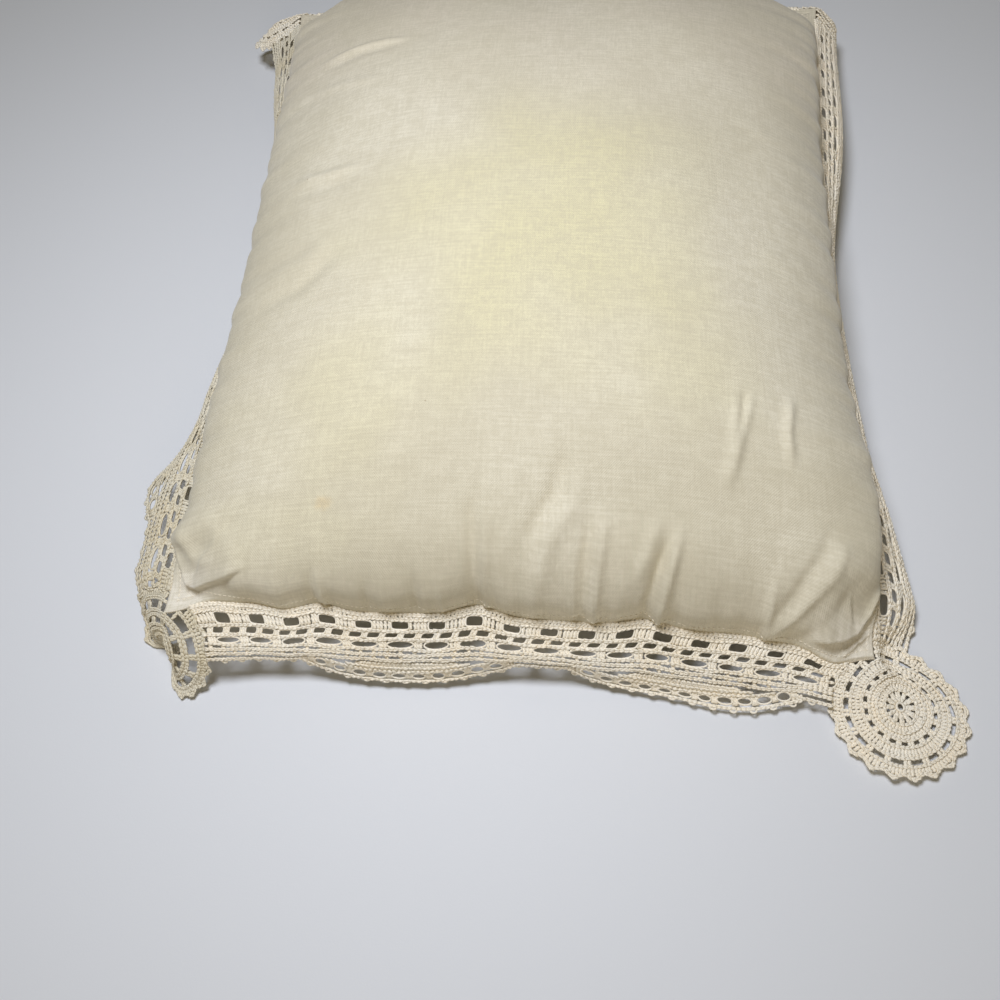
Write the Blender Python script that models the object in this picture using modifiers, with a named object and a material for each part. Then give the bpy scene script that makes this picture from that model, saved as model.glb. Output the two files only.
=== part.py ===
"""A filled cushion cover: a plain cotton back, edged all round with a crochet border.

The cushion lies face down, so the cotton back is on top. Its hem is drawn in between the corners,
and the crochet starts at the hem: four strips of filet with hanging scallops, and a round medallion
at each corner. Metres, +Z up, +Y towards the far end, the origin in the middle of the underside.
"""

import math

import bmesh
import bpy
import numpy as np

# The cotton
HALF_WIDTH = 0.1925
HALF_LENGTH = 0.2430
SIDE_DRAW_IN = 0.014
END_DRAW_IN = 0.006
HEM_THICKNESS = 0.0024
CROWN_HEIGHT = 0.132
CROWN_POWER = 2.5
CROWN_ROOT = 0.52
SIDE_BULGE = 0.9
END_BULGE = 1.0
BULGE_REACH = 0.055
FLAP_REACH = (0.010, 0.050)
UNDERSIDE_FILL = 1.45
PUFF_PLACE = (0.93, -0.72)
PUFF_REACH = 0.30
PUFF_PUSH = 0.008
CUSHION_COLUMNS = 28
CUSHION_ROWS = 32

# The crochet, measured on the flat sheet out from the hem
SHEET_THICKNESS = 0.002
EDGING_START = 0.0020
FILET_HOLE = (0.0040, 0.0085)
LENS_HOLE = (0.0150, 0.0200)
BAND_WIDTH = 0.0270
EDGE_ROUND = 0.0015
SCALLOP_DEPTH = 0.0165
FILET_PITCH = 0.0203
HOLE_SHARE = 0.50
JOIN_GAP = 0.0009
CORNER_CLEAR = 0.0036

MEDALLION_RINGS = (0.0020, 0.0085, 0.0170, 0.0262, 0.0305, 0.0372)
MEDALLION_SLOT_RING = 3
MEDALLION_PICOT = 0.0023
MEDALLION_SECTORS = 36
MEDALLION_TRIM_STEP = 0.0020

# How the edging hangs
HANG_STEPS = 28
HEM_TURN = 0.005
SLOPE_TURN = (0.016, 0.030)
FLOOR_CLEAR = 0.0013
FLOOR_SOFT = 0.010
LAY_TURN = 20.0
SWEEP_REACH = 0.090

SIDES = ("near", "right", "far", "left")
CORNERS = ("near_left", "near_right", "far_right", "far_left")
CORNER_SIGN = {
    "near_left": (-1, -1),
    "near_right": (1, -1),
    "far_right": (1, 1),
    "far_left": (-1, 1),
}
SIDE_NORMAL = {"near": (0, -1), "right": (1, 0), "far": (0, 1), "left": (-1, 0)}

# Each corner: the hem's height, then the upper and lower slope of the edging in degrees below the
# level where it faces along X, along Y and along the diagonal, how far it is pulled sideways, and
# the medallion's place out from the corner along X and Y
CORNER = {
    #              height  facing_x  facing_y  diagonal   sweep  out_x  out_y
    "near_left": (0.036, (48, 78), (30, 62), (58, 96), 0.30, 0.019, 0.019),
    "near_right": (0.012, (72, 4), (12, 4), (28, 4), 0.0, 0.013, 0.025),
    "far_right": (0.046, (44, 84), (55, 80), (55, 86), 0.0, 0.019, 0.019),
    "far_left": (0.046, (20, 42), (72, 88), (45, 60), 0.0, 0.019, 0.019),
}

# Each side, counter-clockwise: place from -1 to 1 along it, the hem's height, upper and lower slope
STATIONS = {
    "near": (
        (-0.70, 0.035, 34, 80),
        (-0.30, 0.036, 36, 86),
        (0.40, 0.031, 38, 84),
        (0.72, 0.022, 32, 72),
    ),
    "right": (
        (-0.86, 0.030, 34, 62),
        (-0.62, 0.044, 52, 82),
        (0.0, 0.052, 70, 88),
        (0.55, 0.052, 34, 80),
    ),
    "far": ((0.0, 0.050, 62, 82),),
    "left": (
        (-0.80, 0.048, 40, 70),
        (-0.45, 0.052, 60, 86),
        (0.0, 0.052, 76, 88),
        (0.45, 0.050, 42, 76),
        (0.70, 0.044, 10, 34),
        (0.88, 0.040, 14, 42),
    ),
}

# The scallops of each side: centre along it and half width
SCALLOPS = {
    "near": ((-0.058, 0.060), (0.092, 0.064)),
    "right": ((-0.132, 0.056), (0.0, 0.056), (0.132, 0.056)),
    "far": ((-0.075, 0.062), (0.075, 0.062)),
    "left": ((-0.132, 0.056), (0.0, 0.056), (0.132, 0.056)),
}

COTTON = ((0.74, 0.69, 0.56), 0.92)
CROCHET = ((0.80, 0.77, 0.68), 0.95)


def smooth(low, high, value):
    share = np.clip((value - low) / (high - low), 0.0, 1.0)
    return share * share * (3.0 - 2.0 * share)


def seam_plan(u, v):
    """The plan place of (u, v), each from -1 to 1, with the hem drawn in between the corners."""
    x = u * (HALF_WIDTH - SIDE_DRAW_IN * (1.0 - v * v))
    y = v * (HALF_LENGTH - END_DRAW_IN * (1.0 - u * u))
    return x, y


def side_length(side):
    return HALF_WIDTH if side in ("near", "far") else HALF_LENGTH


def side_stations(side):
    """A side's rows of place, height and slopes, with those of its two corners at the ends."""
    first = CORNERS[SIDES.index(side)]
    last = CORNERS[(SIDES.index(side) + 1) % 4]
    facing = 2 if side in ("near", "far") else 1
    start = (-1.0, CORNER[first][0], *CORNER[first][facing])
    end = (1.0, CORNER[last][0], *CORNER[last][facing])
    return [start, *STATIONS[side], end]


def along_side(side, place):
    """The hem's height and the upper and lower slopes at a place from -1 to 1 along a side."""
    rows = side_stations(side)
    values = []
    for column in (1, 2, 3):
        value = 0.0 * place + rows[0][column]
        for row, after in zip(rows[:-1], rows[1:]):
            value = value + (after[column] - row[column]) * smooth(row[0], after[0], place)
        values.append(value)
    return values


def hang(height, upper, lower, out):
    """How far out and how high the sheet is at a distance out from the hem, laid on the floor."""
    z = height + 0.0 * out
    reach = 0.0 * z
    step = out / HANG_STEPS
    for index in range(HANG_STEPS):
        at = (index + 0.5) * step
        slope = (upper + (lower - upper) * smooth(*SLOPE_TURN, at)) * smooth(0.0, HEM_TURN, at)
        free = np.sqrt(smooth(0.0, FLOOR_SOFT, z - FLOOR_CLEAR))
        level = np.tanh((90.0 - slope) / LAY_TURN)
        reach = reach + step * (np.cos(np.radians(slope)) * free + level * (1.0 - free))
        z = z - step * np.sin(np.radians(slope)) * free
    return reach, z


def swept(x, y):
    """X after the edging beyond a corner's near or far hem is pulled sideways."""
    moved = x
    for corner in CORNERS:
        sign_x, sign_y = CORNER_SIGN[corner]
        beyond = np.maximum(sign_y * y - HALF_LENGTH + END_DRAW_IN, 0.0)
        near = smooth(-SWEEP_REACH, 0.0, sign_x * x - HALF_WIDTH)
        moved = moved - sign_x * CORNER[corner][4] * beyond * near
    return moved


def drape_side(side, along, out):
    """The place of a point of a side's strip, from the metres along the side and out from its hem."""
    place = along / side_length(side)
    level = 0.0 * place
    u, v = {
        "near": (place, level - 1.0),
        "right": (level + 1.0, place),
        "far": (-place, level + 1.0),
        "left": (level - 1.0, -place),
    }[side]
    x, y = seam_plan(u, v)
    reach, z = hang(*along_side(side, place), out)
    normal_x, normal_y = SIDE_NORMAL[side]
    x = x + normal_x * reach
    y = y + normal_y * reach
    return np.stack([swept(x, y), y, z], axis=-1)


def corner_values(corner, inset_x, inset_y, turn):
    """The height and slopes around a corner, where turn is 0 facing along X and 1 along Y."""
    index = CORNERS.index(corner)
    before, after = SIDES[index - 1], SIDES[index]
    ends = {before: 1.0, after: -1.0}
    end_side = before if before in ("near", "far") else after
    long_side = after if end_side == before else before
    on_end = along_side(end_side, ends[end_side] * (1.0 + inset_x / HALF_WIDTH))
    on_long = along_side(long_side, ends[long_side] * (1.0 + inset_y / HALF_LENGTH))
    height, facing_x, facing_y, diagonal = CORNER[corner][:4]
    fan = [height + 0.0 * turn]
    for along_x, on_diagonal, along_y in zip(facing_x, diagonal, facing_y):
        to_diagonal = (on_diagonal - along_x) * smooth(0.0, 0.5, turn)
        to_y = (along_y - on_diagonal) * smooth(0.5, 1.0, turn)
        fan.append(along_x + to_diagonal + to_y)
    return [
        np.where(inset_x < 0.0, end, np.where(inset_y < 0.0, long, middle))
        for end, long, middle in zip(on_end, on_long, fan)
    ]


def drape_corner(corner, out_x, out_y):
    """The place of a point of a corner's sheet, from the metres out from the corner along X and Y."""
    sign_x, sign_y = CORNER_SIGN[corner]
    inset_x, inset_y = np.minimum(out_x, 0.0), np.minimum(out_y, 0.0)
    beyond_x, beyond_y = np.maximum(out_x, 0.0), np.maximum(out_y, 0.0)
    out = np.maximum(np.hypot(beyond_x, beyond_y), 1e-9)
    turn = np.arctan2(beyond_y, np.maximum(beyond_x, 1e-12)) / (math.pi / 2.0)
    x, y = seam_plan(sign_x * (1.0 + inset_x / HALF_WIDTH), sign_y * (1.0 + inset_y / HALF_LENGTH))
    reach, z = hang(*corner_values(corner, inset_x, inset_y, turn), out)
    x = x + sign_x * reach * beyond_x / out
    y = y + sign_y * reach * beyond_y / out
    return np.stack([swept(x, y), y, z], axis=-1)


def hem_height(u, v):
    """The level of the hem carried across the cushion from its four sides."""
    near, far = along_side("near", u)[0], along_side("far", -u)[0]
    right, left = along_side("right", v)[0], along_side("left", -v)[0]
    over, back = (u + 1.0) / 2.0, (v + 1.0) / 2.0
    corners = (
        CORNER["near_left"][0] * (1.0 - over) * (1.0 - back)
        + CORNER["near_right"][0] * over * (1.0 - back)
        + CORNER["far_right"][0] * over * back
        + CORNER["far_left"][0] * (1.0 - over) * back
    )
    return near * (1.0 - back) + far * back + left * (1.0 - over) + right * over - corners


def fullness(u, v):
    """How far the filling lifts the cloth, 0 along the hem and on the corner flaps, 1 in the middle."""
    across = np.clip(1.0 - np.abs(u) ** CROWN_POWER, 0.0, 1.0) ** CROWN_ROOT
    length = np.clip(1.0 - np.abs(v) ** CROWN_POWER, 0.0, 1.0) ** CROWN_ROOT
    from_corner = np.hypot(HALF_WIDTH * (1.0 - np.abs(u)), HALF_LENGTH * (1.0 - np.abs(v)))
    return across * length * smooth(*FLAP_REACH, from_corner)


def cushion_top(u, v):
    x, y = seam_plan(u, v)
    full = fullness(u, v)
    body = smooth(0.0, 0.35, full)
    from_side, from_end = 1.0 - np.abs(u), 1.0 - np.abs(v)
    x = x + np.sign(u) * HALF_WIDTH * SIDE_BULGE * from_side * np.exp(-from_side / BULGE_REACH) * body
    y = y + np.sign(v) * HALF_LENGTH * END_BULGE * from_end * np.exp(-from_end / BULGE_REACH) * body
    away = ((u - PUFF_PLACE[0]) ** 2 + (v - PUFF_PLACE[1]) ** 2) / PUFF_REACH**2
    x = x + PUFF_PUSH * np.exp(-away) * smooth(0.02, 0.30, full)
    level = hem_height(u, v) + HEM_THICKNESS / 2.0
    return np.stack([x, y, level + (CROWN_HEIGHT - level) * full], axis=-1)


def cushion_underside(u, v):
    x, y = seam_plan(u, v)
    full = np.minimum(fullness(u, v) * UNDERSIDE_FILL, 1.0)
    level = hem_height(u, v) - HEM_THICKNESS / 2.0
    return np.stack([x, y, level * (1.0 - full)], axis=-1)


def material(name, look):
    colour, roughness = look
    made = bpy.data.materials.new(name)
    made.use_nodes = True
    shader = made.node_tree.nodes["Principled BSDF"]
    shader.inputs["Base Color"].default_value = (*colour, 1.0)
    shader.inputs["Roughness"].default_value = roughness
    shader.inputs["Metallic"].default_value = 0.0
    return made


def add_object(name, mesh_builder, look, collection):
    mesh = bpy.data.meshes.new(name)
    mesh_builder.to_mesh(mesh)
    mesh_builder.free()
    made = bpy.data.objects.new(name, mesh)
    mesh.materials.append(material(name + "_finish", look))
    mesh.shade_smooth()
    mesh.set_sharp_from_angle(angle=math.radians(50))
    collection.objects.link(made)
    return made


def move_to(vertices, places):
    for vertex, place in zip(vertices, places):
        vertex.co = place


def crowded(value):
    """A grid coordinate with the lines crowded towards the edges, where the crown rises fastest."""
    return np.sign(value) * (1.0 - (1.0 - np.abs(value)) ** 1.6)


def build_cushion(collection):
    grid = bmesh.new()
    bmesh.ops.create_grid(grid, x_segments=CUSHION_COLUMNS, y_segments=CUSHION_ROWS, size=1.0)
    top = list(grid.verts)
    place = np.array([vertex.co[:2] for vertex in top])
    u, v = crowded(place[:, 0]), crowded(place[:, 1])
    raised = bmesh.ops.extrude_face_region(grid, geom=list(grid.faces), use_keep_orig=True)
    under = [made for made in raised["geom"] if isinstance(made, bmesh.types.BMVert)]
    under_place = np.array([vertex.co[:2] for vertex in under])
    move_to(top, cushion_top(u, v))
    move_to(under, cushion_underside(crowded(under_place[:, 0]), crowded(under_place[:, 1])))
    bmesh.ops.recalc_face_normals(grid, faces=list(grid.faces))
    return add_object("cushion", grid, COTTON, collection)


def scallop_depth(side, along):
    depth = 0.0 * along + EDGE_ROUND
    for centre, half in SCALLOPS[side]:
        arch = np.clip(1.0 - ((along - centre) / half) ** 2, 0.0, 1.0) ** 0.7
        depth = np.maximum(depth, SCALLOP_DEPTH * arch)
    return depth


def join_inset(corner, side, out):
    """How far short of the corner a strip ends, so that the corner's medallion fits against it."""
    out_x, out_y = CORNER[corner][5:]
    across, inward = (out_y, out_x) if side in ("near", "far") else (out_x, out_y)
    radius = MEDALLION_RINGS[-1] + MEDALLION_PICOT + JOIN_GAP
    return np.sqrt(np.maximum(radius**2 - (out - across) ** 2, 0.0)) - inward


def strip_levels():
    """The distances out from the hem of a strip's grid lines, up to the band's edge."""
    return [EDGING_START, *FILET_HOLE, *LENS_HOLE, BAND_WIDTH]


def solidify(made):
    thick = made.modifiers.new("thickness", "SOLIDIFY")
    thick.thickness = SHEET_THICKNESS
    thick.offset = 0.0


def build_strip(side, collection):
    half = side_length(side)
    repeats = round(2.0 * half / FILET_PITCH) - 2
    columns = 2 * repeats + 1
    levels = strip_levels()
    grid = bmesh.new()
    bmesh.ops.create_grid(grid, x_segments=columns, y_segments=len(levels), size=1.0)
    column = np.array([round((vertex.co.x + 1.0) / 2.0 * columns) for vertex in grid.verts])
    level = np.array([round((vertex.co.y + 1.0) / 2.0 * len(levels)) for vertex in grid.verts])
    holes = [
        face
        for face in grid.faces
        if round((face.calc_center_median().x + 1.0) / 2.0 * columns - 0.5) % 2 == 1
        and round((face.calc_center_median().y + 1.0) / 2.0 * len(levels) - 0.5) in (1, 3)
    ]
    bmesh.ops.delete(grid, geom=holes, context="FACES_ONLY")
    # A post of thread stands between two holes, and the first and last posts are half as wide again
    widths = [HOLE_SHARE if index % 2 else 1.0 - HOLE_SHARE for index in range(columns)]
    lines = np.concatenate([[0.0], np.cumsum(widths)]) / sum(widths)
    share = lines[column]
    out = np.array(levels + [BAND_WIDTH])[level]
    first = CORNERS[SIDES.index(side)]
    last = CORNERS[(SIDES.index(side) + 1) % 4]
    start = -half + join_inset(first, side, out)
    along = start + share * (half - join_inset(last, side, out) - start)
    out = out + np.where(level == len(levels), scallop_depth(side, along), 0.0)
    move_to(grid.verts, drape_side(side, along, out))
    bmesh.ops.recalc_face_normals(grid, faces=list(grid.faces))
    made = add_object("edging_" + side, grid, CROCHET, collection)
    solidify(made)
    return made


def trim_radius(corner, angle):
    """How far the medallion reaches at an angle before it meets the cotton's corner."""
    out_x, out_y = CORNER[corner][5:]
    to_x = (out_x - CORNER_CLEAR) / np.maximum(-np.cos(angle), 1e-6)
    to_y = (out_y - CORNER_CLEAR) / np.maximum(-np.sin(angle), 1e-6)
    return np.maximum(to_x, to_y)


def build_medallion(corner, collection):
    disc = bmesh.new()
    profile = [disc.verts.new((radius, 0.0, 0.0)) for radius in MEDALLION_RINGS]
    edges = [disc.edges.new(pair) for pair in zip(profile[:-1], profile[1:])]
    bmesh.ops.spin(
        disc,
        geom=profile + edges,
        cent=(0, 0, 0),
        axis=(0, 0, 1),
        angle=2.0 * math.pi,
        steps=MEDALLION_SECTORS,
        use_merge=True,
    )
    flat = np.array([vertex.co[:2] for vertex in disc.verts])
    radius = np.hypot(flat[:, 0], flat[:, 1])
    angle = np.arctan2(flat[:, 1], flat[:, 0])
    ring = np.argmin(np.abs(radius[:, None] - np.array(MEDALLION_RINGS)[None, :]), axis=1)
    sector = np.round(angle / (2.0 * math.pi) * MEDALLION_SECTORS).astype(int)
    last = len(MEDALLION_RINGS) - 1
    radius = radius + np.where((ring == last) & (sector % 2 == 0), MEDALLION_PICOT, 0.0)
    trimmed = trim_radius(corner, angle) - (last - ring) * MEDALLION_TRIM_STEP
    kept = np.minimum(radius, trimmed)
    whole = dict(zip(disc.verts, np.isclose(kept, radius)))
    slots = []
    for face in disc.faces:
        middle = face.calc_center_median()
        reach = math.hypot(middle.x, middle.y)
        spoke = math.floor(math.atan2(middle.y, middle.x) / (2.0 * math.pi) * MEDALLION_SECTORS)
        in_ring = MEDALLION_RINGS[MEDALLION_SLOT_RING] < reach < MEDALLION_RINGS[MEDALLION_SLOT_RING + 1]
        if in_ring and spoke % 2 == 0 and all(whole[vertex] for vertex in face.verts):
            slots.append(face)
    bmesh.ops.delete(disc, geom=slots, context="FACES_ONLY")
    out_x, out_y = CORNER[corner][5:]
    places = drape_corner(corner, out_x + kept * np.cos(angle), out_y + kept * np.sin(angle))
    move_to(disc.verts, places)
    bmesh.ops.recalc_face_normals(disc, faces=list(disc.faces))
    made = add_object("medallion_" + corner, disc, CROCHET, collection)
    solidify(made)
    return made


def main():
    for old in list(bpy.data.objects):
        bpy.data.objects.remove(old, do_unlink=True)
    collection = bpy.data.collections.new("cushion_cover")
    bpy.context.scene.collection.children.link(collection)
    build_cushion(collection)
    for side in SIDES:
        build_strip(side, collection)
    for corner in CORNERS:
        build_medallion(corner, collection)


main()
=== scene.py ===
"""A filled cushion cover with a plain cotton back and a crochet edging, lying face down.

The cotton is one padded piece with its hem, creases and stitching. The crochet is worked thread by
thread on the flat, strip by strip and medallion by medallion, and then laid over the shape in which
the edging hangs. Metres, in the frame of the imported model.
"""

import math

import bpy
import numpy as np
from mathutils import Matrix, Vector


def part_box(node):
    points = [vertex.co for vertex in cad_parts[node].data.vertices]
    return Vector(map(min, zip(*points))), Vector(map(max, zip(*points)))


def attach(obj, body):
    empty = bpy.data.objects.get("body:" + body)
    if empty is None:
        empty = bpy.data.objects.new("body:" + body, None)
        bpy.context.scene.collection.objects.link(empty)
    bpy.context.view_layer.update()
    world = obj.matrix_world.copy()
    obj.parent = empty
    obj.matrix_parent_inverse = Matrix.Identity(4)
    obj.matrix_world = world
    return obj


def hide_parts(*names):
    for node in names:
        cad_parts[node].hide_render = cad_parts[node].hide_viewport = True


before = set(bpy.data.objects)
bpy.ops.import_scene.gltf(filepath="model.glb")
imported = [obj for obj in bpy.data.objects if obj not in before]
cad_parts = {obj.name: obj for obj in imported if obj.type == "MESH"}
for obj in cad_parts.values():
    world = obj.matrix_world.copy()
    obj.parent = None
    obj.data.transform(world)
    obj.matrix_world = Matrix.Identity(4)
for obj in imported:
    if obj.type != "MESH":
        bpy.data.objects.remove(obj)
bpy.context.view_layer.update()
CUSHION_LOW, CUSHION_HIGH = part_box("cushion")

MM = 0.001
SEED = 20

# The cotton's form. Its size is read from the frame, and the rest is the form that the solids have,
# apart from the swelling beside the near-right corner, which is fuller and nearer to the corner
HALF_WIDTH = (CUSHION_HIGH[0] - CUSHION_LOW[0]) / 2.0
HALF_LENGTH = (CUSHION_HIGH[1] - CUSHION_LOW[1]) / 2.0
CROWN_HEIGHT = CUSHION_HIGH[2]
SIDE_DRAW_IN = 0.014  # how far the hem is drawn in halfway between two corners
END_DRAW_IN = 0.006
HEM_THICKNESS = 0.0024
CROWN_POWER = 2.5
CROWN_ROOT = 0.52
SIDE_BULGE = 0.9  # how far the cloth bulges out over its hem, at the sides and at the ends
END_BULGE = 1.0
BULGE_REACH = 0.055
FLAP_REACH = (0.010, 0.050)  # the flat flap of a corner: where the filling begins and is full
UNDERSIDE_FILL = 1.45
PUFF_PLACE = (0.93, -0.80)  # the middle of the swelling, as (u, v)
PUFF_REACH = 0.25
PUFF_PUSH = 0.0105

# How the edging hangs: it turns down from the hem over the first distance, and from its upper to its
# lower slope between the next two, and close to the floor it lays itself down
HEM_TURN = 0.005
SLOPE_TURN = (0.016, 0.030)
FLOOR_CLEAR = 0.0013
FLOOR_SOFT = 0.010
LAY_TURN = 20.0  # degrees
SWEEP_REACH = 0.090  # how far in from a corner its sideways pull begins
HANG_STEPS = 28
FLOOR_SKIN = 0.25 * MM  # nothing lies lower than this above the floor

SIDES = ("near", "right", "far", "left")
CORNERS = ("near_left", "near_right", "far_right", "far_left")
CORNER_SIGN = {
    "near_left": (-1, -1),
    "near_right": (1, -1),
    "far_right": (1, 1),
    "far_left": (-1, 1),
}
SIDE_NORMAL = {"near": (0, -1), "right": (1, 0), "far": (0, 1), "left": (-1, 0)}

# Each corner: the hem's height, then the upper and lower slope of the edging in degrees below the
# level where it faces along X, along Y and along the diagonal, how far it is pulled sideways, and
# the medallion's place out from the corner along X and Y
CORNER = {
    #              height  facing_x  facing_y  diagonal   sweep  out_x  out_y
    "near_left": (0.036, (48, 78), (30, 62), (58, 96), 0.30, 0.019, 0.019),
    "near_right": (0.012, (72, 4), (12, 4), (28, 4), 0.0, 0.013, 0.025),
    "far_right": (0.046, (44, 84), (55, 80), (55, 86), 0.0, 0.019, 0.019),
    "far_left": (0.046, (20, 42), (72, 88), (45, 60), 0.0, 0.019, 0.019),
}

# Each side, counter-clockwise: place from -1 to 1 along it, the hem's height, upper and lower slope
STATIONS = {
    "near": (
        (-0.70, 0.035, 34, 80),
        (-0.30, 0.036, 36, 86),
        (0.40, 0.031, 38, 84),
        (0.72, 0.022, 32, 72),
    ),
    "right": (
        (-0.86, 0.030, 34, 62),
        (-0.62, 0.044, 52, 82),
        (0.0, 0.052, 70, 88),
        (0.55, 0.052, 34, 80),
    ),
    "far": ((0.0, 0.050, 62, 82),),
    "left": (
        (-0.80, 0.048, 40, 70),
        (-0.45, 0.052, 60, 86),
        (0.0, 0.052, 76, 88),
        (0.45, 0.050, 42, 76),
        (0.70, 0.044, 10, 34),
        (0.88, 0.040, 14, 42),
    ),
}

# The scallops of each side: centre along it and half width
SCALLOPS = {
    "near": ((-0.058, 0.060), (0.092, 0.064)),
    "right": ((-0.132, 0.056), (0.0, 0.056), (0.132, 0.056)),
    "far": ((-0.075, 0.062), (0.075, 0.062)),
    "left": ((-0.132, 0.056), (0.0, 0.056), (0.132, 0.056)),
}
BAND_WIDTH = 0.0270  # of a strip, from the hem to where its scallops begin
EDGE_ROUND = 0.0015
SCALLOP_DEPTH = 0.0165
FILET_PITCH = 0.0203  # of the square openings, and the share of it that is open
HOLE_SHARE = 0.50


def smooth(low, high, value):
    """0 below low, 1 above high, and a smooth rise between them. Low may be above high."""
    share = np.clip((value - low) / (high - low), 0.0, 1.0)
    return share * share * (3.0 - 2.0 * share)


def stacked(*parts):
    """Points from their coordinates, which are arrays or numbers that fit together."""
    return np.stack(np.broadcast_arrays(*parts), axis=-1)


def unit(ways):
    """The same directions, each with a length of 1."""
    return ways / np.maximum(np.linalg.norm(ways, axis=-1, keepdims=True), 1e-12)


def run_along(lines):
    """How far each point of one or more lines is along its line."""
    steps = np.linalg.norm(np.diff(lines, axis=-2), axis=-1)
    return np.concatenate([np.zeros((*steps.shape[:-1], 1)), np.cumsum(steps, axis=-1)], axis=-1)


def at_distance(line, run, distance):
    """The points at these distances along a line, where run is how far its own points are."""
    return stacked(*(np.interp(distance, run, values) for values in line.T))


def circle(count):
    """Angles evenly round a circle."""
    return np.linspace(0.0, 2.0 * math.pi, count, endpoint=False)


def seam_plan(u, v):
    """The plan place of (u, v), each from -1 to 1, with the hem drawn in between the corners."""
    x = u * (HALF_WIDTH - SIDE_DRAW_IN * (1.0 - v * v))
    y = v * (HALF_LENGTH - END_DRAW_IN * (1.0 - u * u))
    return x, y


def side_length(side):
    """Half the length of a side between its two corners."""
    return HALF_WIDTH if side in ("near", "far") else HALF_LENGTH


def side_corners(side):
    """The corners at which a side starts and ends, counter-clockwise."""
    index = SIDES.index(side)
    return CORNERS[index], CORNERS[(index + 1) % 4]


def side_stations(side):
    """A side's rows of place, height and slopes, with those of its two corners at the ends."""
    facing = 2 if side in ("near", "far") else 1
    start, end = (
        (place, CORNER[corner][0], *CORNER[corner][facing])
        for place, corner in zip((-1.0, 1.0), side_corners(side))
    )
    return [start, *STATIONS[side], end]


def along_side(side, place):
    """The hem's height and the upper and lower slopes at a place from -1 to 1 along a side."""
    rows = side_stations(side)
    values = []
    for column in (1, 2, 3):
        value = 0.0 * place + rows[0][column]
        for row, after in zip(rows[:-1], rows[1:]):
            value = value + (after[column] - row[column]) * smooth(row[0], after[0], place)
        values.append(value)
    return values


def hang(height, upper, lower, out):
    """How far out and how high the sheet is at a distance out from the hem, laid on the floor."""
    z = height + 0.0 * out
    reach = 0.0 * z
    step = out / HANG_STEPS
    for index in range(HANG_STEPS):
        at = (index + 0.5) * step
        slope = (upper + (lower - upper) * smooth(*SLOPE_TURN, at)) * smooth(0.0, HEM_TURN, at)
        free = np.sqrt(smooth(0.0, FLOOR_SOFT, z - FLOOR_CLEAR))
        level = np.tanh((90.0 - slope) / LAY_TURN)
        reach = reach + step * (np.cos(np.radians(slope)) * free + level * (1.0 - free))
        z = z - step * np.sin(np.radians(slope)) * free
    return reach, z


def swept(x, y):
    """X after the edging beyond a corner's near or far hem is pulled sideways."""
    moved = x
    for corner in CORNERS:
        sign_x, sign_y = CORNER_SIGN[corner]
        beyond = np.maximum(sign_y * y - HALF_LENGTH + END_DRAW_IN, 0.0)
        near = smooth(-SWEEP_REACH, 0.0, sign_x * x - HALF_WIDTH)
        moved = moved - sign_x * CORNER[corner][4] * beyond * near
    return moved


def drape_side(side, along, out):
    """The place of a point of a side's strip, from the metres along the side and out from its hem."""
    place = along / side_length(side)
    normal_x, normal_y = SIDE_NORMAL[side]
    x, y = seam_plan(normal_x - normal_y * place, normal_y + normal_x * place)
    reach, z = hang(*along_side(side, place), out)
    x, y = x + normal_x * reach, y + normal_y * reach
    return stacked(swept(x, y), y, z)


def corner_values(corner, inset_x, inset_y, turn):
    """The height and slopes around a corner, where turn is 0 facing along X and 1 along Y."""
    index = CORNERS.index(corner)
    before, after = SIDES[index - 1], SIDES[index]
    ends = {before: 1.0, after: -1.0}
    end_side = before if before in ("near", "far") else after
    long_side = after if end_side == before else before
    on_end = along_side(end_side, ends[end_side] * (1.0 + inset_x / HALF_WIDTH))
    on_long = along_side(long_side, ends[long_side] * (1.0 + inset_y / HALF_LENGTH))
    height, facing_x, facing_y, diagonal = CORNER[corner][:4]
    fan = [height + 0.0 * turn]
    for along_x, on_diagonal, along_y in zip(facing_x, diagonal, facing_y):
        to_diagonal = (on_diagonal - along_x) * smooth(0.0, 0.5, turn)
        to_y = (along_y - on_diagonal) * smooth(0.5, 1.0, turn)
        fan.append(along_x + to_diagonal + to_y)
    return [
        np.where(inset_x < 0.0, end, np.where(inset_y < 0.0, long, middle))
        for end, long, middle in zip(on_end, on_long, fan)
    ]


def drape_corner(corner, out_x, out_y):
    """The place of a point of a corner's sheet, from the metres out from the corner along X and Y."""
    sign_x, sign_y = CORNER_SIGN[corner]
    inset_x, inset_y = np.minimum(out_x, 0.0), np.minimum(out_y, 0.0)
    beyond_x, beyond_y = np.maximum(out_x, 0.0), np.maximum(out_y, 0.0)
    out = np.maximum(np.hypot(beyond_x, beyond_y), 1e-9)
    turn = np.arctan2(beyond_y, np.maximum(beyond_x, 1e-12)) / (math.pi / 2.0)
    x, y = seam_plan(sign_x * (1.0 + inset_x / HALF_WIDTH), sign_y * (1.0 + inset_y / HALF_LENGTH))
    reach, z = hang(*corner_values(corner, inset_x, inset_y, turn), out)
    x = x + sign_x * reach * beyond_x / out
    y = y + sign_y * reach * beyond_y / out
    return stacked(swept(x, y), y, z)


def hem_height(u, v):
    """The level of the hem carried across the cushion from its four sides."""
    near, far = along_side("near", u)[0], along_side("far", -u)[0]
    right, left = along_side("right", v)[0], along_side("left", -v)[0]
    over, back = (u + 1.0) / 2.0, (v + 1.0) / 2.0
    corners = (
        CORNER["near_left"][0] * (1.0 - over) * (1.0 - back)
        + CORNER["near_right"][0] * over * (1.0 - back)
        + CORNER["far_right"][0] * over * back
        + CORNER["far_left"][0] * (1.0 - over) * back
    )
    return near * (1.0 - back) + far * back + left * (1.0 - over) + right * over - corners


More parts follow.
